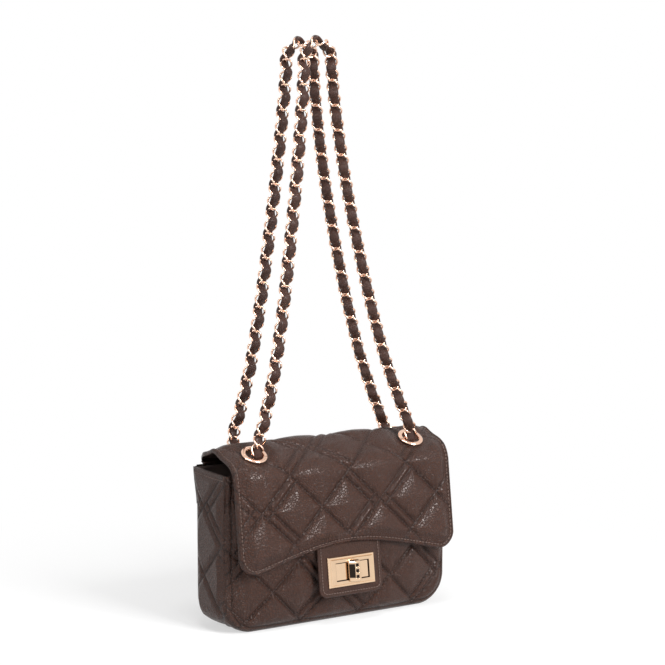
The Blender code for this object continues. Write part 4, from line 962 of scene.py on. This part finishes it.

# Turn lock
# Cast, polished and gold plated: a stepped frame riveted to the tab, a back plate with two small screws,
# a base on the front panel that fills the frame's slot, and a knob that turns a quarter to hold the flap.
# The knob's face has three sunk cells; they and its left side are painted near-black, a painted dark reflection and
# shade.

KNOB_HALF = (0.0042, 0.0086)
KNOB_HEIGHT = 0.0056
KNOB_FOOT = 0.0008
KNOB_END = 0.0022
KNOB_ACROSS = 41
KNOB_ALONG = 97
KNOB_ARCH_SHARES = ((-1.0, -0.30, -0.20, 0.86, 0.96, 1.0), (0.0, 0.93, 1.0, 1.0, 0.85, 0.0))
CELL_SPACING = 0.0044
CELL_HALF = 0.0013
CELL_DEPTH = 0.0006
CELL_SHARES = (0.12, 0.30)
PAINTED_DARK_SIDE_SHARE = -0.34
PAINTED_DARK_SIDE_HALF = 0.0052
SHARP_ANGLE = radians(40)


def plated_metal(name, shade, roughness, wear):
    """Polished plating: faint polishing lines, small changes of gloss and slightly worn, brighter edges."""
    worn = (*[min(channel * 1.12 + 0.03, 0.98) for channel in shade], 1.0)
    finish, tree, shader = new_finish(name)
    shader.inputs["Metallic"].default_value = 1.0
    place = add_node(tree, "TexCoord")
    clouds = add_node(tree, "TexNoise", {"Scale": 160.0, "Detail": 4.0})
    lines = add_node(tree, "TexNoise", {"Scale": 2600.0})
    gloss = add_node(tree, "MapRange", {"To Min": roughness * 0.75, "To Max": roughness * 1.35})
    shape = add_node(tree, "NewGeometry")
    edge = add_node(tree, "MapRange", {"From Min": 0.50, "From Max": 0.62, "To Max": wear})
    tone = add_node(tree, "Mix", {"A": (*shade, 1.0), "B": worn}, data_type='RGBA')
    tarnish = add_node(tree, "Mix", {"Factor": 1.0}, data_type='RGBA', blend_type='MULTIPLY')
    dull = add_node(tree, "MapRange", {"To Min": 0.90, "To Max": 1.02})
    bump = add_node(tree, "Bump", {"Strength": 0.25, "Distance": 0.00001})
    join(tree, (place, "Object", clouds, "Vector"), (place, "Object", lines, "Vector"),
         (clouds, "Fac", gloss, "Value"), (gloss, "Result", shader, "Roughness"),
         (shape, "Pointiness", edge, "Value"), (edge, "Result", tone, "Factor"), (tone, "Result", tarnish, "A"),
         (clouds, "Fac", dull, "Value"), (dull, "Result", tarnish, "B"), (tarnish, "Result", shader, "Base Color"),
         (lines, "Fac", bump, "Height"), (bump, "Normal", shader, "Normal"))
    return finish


def polish(node, width, segments, harden):
    """Plates a piece in pale gold and takes the sharpness off its edges."""
    refinish(node, pale_gold)
    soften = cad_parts[node].modifiers.new("Polished edges", 'BEVEL')
    soften.width = width
    soften.segments = segments
    soften.limit_method = 'ANGLE'
    soften.angle_limit = SHARP_ANGLE
    soften.harden_normals = harden


pale_gold = plated_metal("pale_gold_plate", (0.80, 0.57, 0.38), 0.12, 0.7)
for node, width in (("lock_frame", 0.00030), ("lock_base", 0.00030), ("lock_frame_back_plate", 0.00015),
                    ("lock_frame_screw_left", 0.00015), ("lock_frame_screw_right", 0.00015)):
    polish(node, width, 3, True)

across = np.linspace(-1.0, 1.0, KNOB_ACROSS)[None]
up = np.linspace(-1.0, 1.0, KNOB_ALONG)[:, None] * KNOB_HALF[1]
end_fall = 1 - np.sqrt(1 - np.clip((np.abs(up) - (KNOB_HALF[1] - KNOB_END)) / KNOB_END, 0.0, 1.0) ** 2)
half = KNOB_HALF[0] * (1 - 0.45 * end_fall)
arch = np.interp(across, *KNOB_ARCH_SHARES)
from_cell = np.abs(np.abs(np.abs(up) - CELL_SPACING / 2) - CELL_SPACING / 2)
in_cell = (from_cell < CELL_HALF) & (np.abs(across - CELL_SHARES[0]) < CELL_SHARES[1])
bulk = (KNOB_HEIGHT - CELL_DEPTH * in_cell) * (0.22 + 0.78 * arch) * (1 - 0.62 * end_fall)
front = leaned(across * half, KNOB_FOOT - bulk, up)
rim = leaned(across * half, KNOB_FOOT, up)
columns = 2 * KNOB_ACROSS
faces = grid_faces(KNOB_ALONG, columns, columns_meet=True).tolist()
last = (KNOB_ALONG - 1) * columns
faces += [list(range(columns))[::-1], list(range(last, last + columns))]
knob = new_piece("turn_knob", np.concatenate([front, rim[:, ::-1]], axis=1), faces, pale_gold)
# Painted reflection and shade: the sunk cells and the knob's left side get a near-black material.
knob.data.materials.append(plated_metal("painted_dark_reflection", (0.030, 0.024, 0.018), 0.20, 0.5))
painted_dark = np.zeros((KNOB_ALONG - 1, columns), np.int32)
painted_dark[:, :KNOB_ACROSS] = (in_cell | ((np.abs(up) < PAINTED_DARK_SIDE_HALF) & (across < PAINTED_DARK_SIDE_SHARE)))[:-1]
knob.data.polygons.foreach_set("material_index", np.append(painted_dark.ravel(), np.zeros(2, np.int32)))
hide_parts("lock_knob")
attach(knob, "lock_knob")

# Eyelets
# Rolled rose-gold rings, set through both layers of the flap with a washer clenched underneath.

EYELET_DEPTH = 0.0165
EYELET_HEIGHT = 0.1346
RING_PROFILE = (
    (0.0069, -0.0046), (0.0069, 0.0005), (0.0070, 0.0009), (0.0072, 0.0012), (0.0076, 0.00145), (0.0081, 0.0015),
    (0.0088, 0.0014), (0.0095, 0.0012), (0.0099, 0.0010), (0.0102, 0.0007), (0.0103, 0.0004), (0.0102, 0.0002),
    (0.0098, 0.00015), (0.0075, 0.00015), (0.0075, -0.0054), (0.0088, -0.0054), (0.0090, -0.0056),
    (0.0088, -0.0059), (0.0078, -0.0060), (0.0070, -0.0056))
WASHER_PROFILE = ((0.0078, -0.0046), (0.0101, -0.0046), (0.0103, -0.0048), (0.0103, -0.0050), (0.0101, -0.0052),
                  (0.0078, -0.0052))
RING_STEPS = 72


def full_turn(steps):
    """Angles all the way round, without the last that falls on the first."""
    return np.linspace(0.0, 2 * pi, steps + 1)[:-1]


def turned_ring(name, profile, centre, normal):
    """A ring turned about an axis from a closed (radius, height) profile."""
    aside = np.array([1.0, 0.0, 0.0])
    turn = full_turn(RING_STEPS)
    around = np.outer(np.cos(turn), aside) + np.outer(np.sin(turn), np.cross(normal, aside))
    profile = np.array(profile)
    points = centre + around[:, None] * profile[None, :, :1] + normal * profile[None, :, 1:]
    return new_piece(name, points, grid_faces(RING_STEPS, len(profile), True, True).tolist(), rose_gold)


rose_gold = plated_metal("rose_gold_plate", (0.87, 0.58, 0.44), 0.13, 0.8)
eyelet_places = {}
for word, deep in (("front", -1), ("back", 1)):
    for hand, across in (("left", -1), ("right", 1)):
        eyelet_places[word + "_" + hand] = (np.array([across * EYELET_X, deep * EYELET_DEPTH, EYELET_HEIGHT]),
                                            np.array([0.0, deep * sin(RIDGE_SLOPE), cos(RIDGE_SLOPE)]))
for word, (centre, normal) in eyelet_places.items():
    for part, profile in (("eyelet", RING_PROFILE), ("eyelet_washer", WASHER_PROFILE)):
        ring = turned_ring(word + "_" + part + "_ring", profile, centre, normal)
        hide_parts(word + "_" + part)
        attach(ring, "flap")

# Chain
# Oval links of round rose-gold wire, twisted like a curb chain, each hooked through the next and turned a quarter.
# Two standing loops leave the eyelets, and a short run joins front and back eyelets under the flap.

LINK_PITCH = 0.0094
LINK_HALF = (0.0055, 0.0044)
LINK_STRAIGHT = 0.0042
LINK_STEPS = 36
WIRE = 0.0016
WIRE_STEPS = 8
WIRE_RIDGE = 0.00095
LINK_PLAY = 0.0012
CHAIN_X = 0.0695
PIVOT_HEIGHT = 0.0085
LOOP_LINKS = 67
LOOP_LEAN = 0.0125
LOOP_TOP = 0.4440
LOOP_BEND = 0.0120
LOOP_APART = 0.013
LOOP_STEPS = 30
BEND_STEPS = 12
SPREAD_SHARES = (1.0, 0.875, 0.715, 0.560, 0.430, 0.310, 0.220, 0.178)
SPREAD_HEIGHT_SHARES = (0.0, 0.08, 0.20, 0.36, 0.52, 0.69, 0.86, 0.96)
LEG_TURN = radians(74)
LEG_REACH = 0.017
PASSAGE_LINKS = 7


def unit(vectors):
    """The same directions at unit length."""
    return vectors / np.linalg.norm(vectors, axis=-1, keepdims=True)


def square_to(vectors, along):
    """The nearest directions at right angles to a line."""
    return unit(vectors - along * (vectors * along).sum(-1, keepdims=True))


def chain_pivot(side_y):
    """Where the chain stands over its eyelets, in the bag's middle plane, and the eyelets' direction."""
    centre, normal = eyelet_places["back_left" if side_y > 0 else "front_left"]
    return centre * [0.0, 1.0, 1.0] + normal * PIVOT_HEIGHT, normal


def smooth_between(values, places, place):
    """A smooth curve through values given at places."""
    k = 0
    while k < len(places) - 2 and place > places[k + 1]:
        k += 1
    share = (place - places[k]) / (places[k + 1] - places[k])
    here, there = values[k], values[k + 1]
    pull_here = (there - values[max(k - 1, 0)]) / 2
    pull_there = (values[min(k + 2, len(values) - 1)] - here) / 2
    square, cube = share ** 2, share ** 3
    return ((2 * cube - 3 * square + 1) * here + (cube - 2 * square + share) * pull_here
            + (3 * square - 2 * cube) * there + (cube - square) * pull_there)


def loop_path(side_y):
    """Centre line of a standing loop, from its left eyelet over the top to its right eyelet."""
    start, normal = chain_pivot(side_y)
    start = start - normal * (2 * WIRE_RIDGE + LINK_PLAY - WIRE)
    top_y = side_y * LOOP_APART
    bend_z = LOOP_TOP - LOOP_BEND
    sides = {}
    for side_x in (-1, 1):
        points = []
        for k in range(LOOP_STEPS + 1):
            share = k / LOOP_STEPS
            spread = CHAIN_X * smooth_between(SPREAD_SHARES, SPREAD_HEIGHT_SHARES, share) if share < 1 else LOOP_BEND
            points.append((side_x * spread - LOOP_LEAN * sin(pi * share / 2),
                           start[1] + (top_y - start[1]) * share, start[2] + (bend_z - start[2]) * share))
        sides[side_x] = points
    turns = [pi * (1 - k / BEND_STEPS) for k in range(1, BEND_STEPS)]
    top = [(LOOP_BEND * cos(t) - LOOP_LEAN, top_y, bend_z + LOOP_BEND * sin(t)) for t in turns]
    return np.array(sides[-1] + top + sides[1][::-1])


def passage_path(side_x):
    """From the front eyelet down, under the ridge of the flap and up to the back eyelet."""
    point, _ = chain_pivot(-1)
    dive = pi / 2 - RIDGE_SLOPE
    reach = -point[1]
    straight = (PASSAGE_LINKS * LINK_PITCH / 2 - reach * dive / sin(dive)) / (1 - dive * sin(RIDGE_SLOPE) / sin(dive))
    radius = (reach - straight * sin(RIDGE_SLOPE)) / sin(dive)
    bend_z = point[2] - straight * cos(RIDGE_SLOPE)
    half = [(point[1], point[2]), (point[1] + straight * sin(RIDGE_SLOPE), bend_z)]
    bends = np.linspace(dive, 0.0, BEND_STEPS + 1)[1:]
    half += [(-radius * sin(t), bend_z - radius * (cos(t) - cos(dive))) for t in bends]
    return np.array([(side_x * CHAIN_X, y, z) for y, z in half + [(-y, z) for y, z in half[-2::-1]]])


def evenly(path, count):
    """Points at equal steps along a path, one more than its links."""
    run = length_along(path)
    at = np.linspace(0.0, run[-1], count + 1)
    return np.stack([np.interp(at, run, path[:, k]) for k in range(3)], 1)


def broad_sides(points, along, loop):
    """The chain's flat side at each point: along the bag under the flap, turning slowly from leg to leg in a loop."""
    broad = np.repeat([[1.0, 0.0, 0.0]], len(points), 0)
    if loop:
        lean = np.clip((points[:, 0] + LOOP_LEAN) / LEG_REACH, -1.0, 1.0)
        turn = LEG_TURN * (1 + np.sin(lean * pi / 2))
        broad = np.stack([np.cos(turn), np.sin(turn), 0 * turn], 1)
    broad = square_to(broad, along)
    return broad, np.cross(broad, along)


def squared_round(angles, half, wide, deep):
    """Cosines and sines drawn out towards a rounded rectangle."""
    c, s = np.cos(angles), np.sin(angles)
    return half[0] * np.sign(c) * np.abs(c) ** wide, half[1] * np.sign(s) * np.abs(s) ** deep


def chain_links(name, points, loop):
    """One mesh of oval links of round wire, each turned an eighth at both ends so that neighbours hook square."""
    middle = ((points[1:] + points[:-1]) / 2)[:, None]
    along = unit(np.diff(points, axis=0))
    across, up = broad_sides(middle[:, 0], along, loop)
    u, w = [part[None, :, None] for part in squared_round(full_turn(LINK_STEPS), LINK_HALF, 0.85, 0.80)]
    turn = pi / 4 * np.sin(np.clip(u / LINK_STRAIGHT, -1.0, 1.0) * pi / 2)
    broad = across[:, None] * np.cos(turn) + up[:, None] * np.sin(turn)
    spine = middle + along[:, None] * u + broad * w
    ahead = unit(np.roll(spine, -1, axis=1) - np.roll(spine, 1, axis=1))
    away = square_to(spine - middle, ahead)
    beside = np.cross(ahead, away)
    turn = full_turn(WIRE_STEPS)[None, None, :, None]
    rings = spine[:, :, None] + (away[:, :, None] * np.cos(turn) + beside[:, :, None] * np.sin(turn)) * WIRE / 2
    return new_piece(name, rings, grid_faces(LINK_STEPS, WIRE_STEPS, True, True, len(middle)).tolist(), rose_gold)


chain_runs = [(word + "_strap", word + "_strap", evenly(loop_path(side_y), LOOP_LINKS), True)
              for side_y, word in ((-1, "front"), (1, "back"))]
chain_runs += [(word + "_passage", "flap", evenly(passage_path(side_x), PASSAGE_LINKS), False)
               for side_x, word in ((-1, "left"), (1, "right"))]
for run_name, body, points, loop in chain_runs:
    links = chain_links(run_name + "_chain", points, loop)
    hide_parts(run_name + "_links")
    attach(links, body)

# Leather lace
# A folded strip of the bag's leather, woven through the chain: over one joint, through a link, under the next joint.
# It swells where it lies outside the wires and is pinched inside the links.

LACE_SWING = 0.0029
LACE_HALF = (0.0032, 0.0011)
LACE_SWELL = (0.0007, 0.0006)
LACE_STEPS = 16

lace_leather = grained_leather("lace_leather", (0.046, 0.0195, 0.0135), 0.30, 0.0009, 0.00010)
for run_name, body, points, loop in chain_runs:
    across, up = broad_sides(points, unit(np.gradient(points, axis=0)), loop)
    side = np.where(np.arange(len(points)) % 2 == 1, -1.0, 1.0)
    side[[0, -1]] = 0.0
    reach = np.arange(0.0, len(points) - 1 + 1e-9, 1 / LACE_STEPS)
    centre, outwards, beside = [np.stack([np.interp(reach, np.arange(len(points)), values[:, k]) for k in range(3)], 1)
                                for values in (points, up, across)]
    k = np.minimum(reach.astype(int), len(points) - 2)
    ease = 0.5 + 0.5 * np.cos(pi * (reach - k))
    swing = (side[k] * ease + side[k + 1] * (1 - ease))[:, None]
    line = centre + outwards * swing * LACE_SWING
    tangent = unit(np.gradient(line, axis=0))
    beside = square_to(beside, tangent)
    face = np.cross(beside, tangent)
    half = [base + more * np.abs(swing) for base, more in zip(LACE_HALF, LACE_SWELL)]
    wide, thick = squared_round(full_turn(LACE_STEPS), half, 0.9, 0.8)
    rings = line[:, None] + beside[:, None] * wide[:, :, None] + face[:, None] * thick[:, :, None]
    lace = sheet_of(run_name + "_lace_leather", np.concatenate([rings, rings[:, :1]], axis=1), lace_leather)
    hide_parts(run_name + "_lace")
    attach(lace, body)

# Inner pocket zip
# Woven tapes sewn behind the slit, fine moulded teeth, and a plated slider with its pull.

TAPE_FACE = 0.0219
TAPE_HALF_LENGTH = 0.0498
TOOTH_FACE = 0.0211
TOOTH_PITCH = 0.00105
TEETH_REACH = 0.0485
TOOTH_LEVELS = ((0.0013, 0.00042), (0.0, 0.00030), (-0.0004, 0.00040))

zip_cloth = woven_cloth("zip_tape_cloth", (0.045, 0.026, 0.021), 0.0004)
for name, node, low, high in (("upper_tape_cloth", "zip_tape_upper", 0.0811, 0.0869),
                              ("lower_tape_cloth", "zip_tape_lower", 0.0731, 0.0789)):
    x_grid, z_grid = np.meshgrid(np.linspace(-TAPE_HALF_LENGTH, TAPE_HALF_LENGTH, 60), np.linspace(low, high, 7))
    tape = sheet_of(name, np.stack([x_grid, np.full_like(x_grid, TAPE_FACE), z_grid], -1), zip_cloth)
    thicken(tape, 0.0004, -1.0)
    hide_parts(node)
    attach(tape, "bag_body")

corners, faces = [], []
for k, x in enumerate(np.arange(-TEETH_REACH, TEETH_REACH + 0.0001, TOOTH_PITCH)):
    first = len(corners)
    for off, half in TOOTH_LEVELS:
        z = POCKET_HEIGHT + (off if k % 2 else -off)
        corners += [(x - half, TOOTH_FACE, z), (x + half, TOOTH_FACE, z),
                    (x + half, TAPE_FACE, z), (x - half, TAPE_FACE, z)]
    faces += (grid_faces(len(TOOTH_LEVELS), 4, columns_meet=True) + first).tolist()
    faces += [[first + 3, first + 2, first + 1, first], [first + 8, first + 9, first + 10, first + 11]]
teeth = new_piece("zip_teeth", corners, faces, pale_gold)
teeth.data.polygons.foreach_set("use_smooth", [False] * len(teeth.data.polygons))
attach(teeth, "bag_body")
for node in ("zip_slider", "zip_pull"):
    polish(node, 0.00018, 2, False)

# Size of the dressed part
# Both boxes, of the solids and of the scene, in metres.

scene_box = [list(map(float, corner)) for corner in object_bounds()]
str({"cad": cad_box, "scene": scene_box}).replace(chr(39), chr(34))
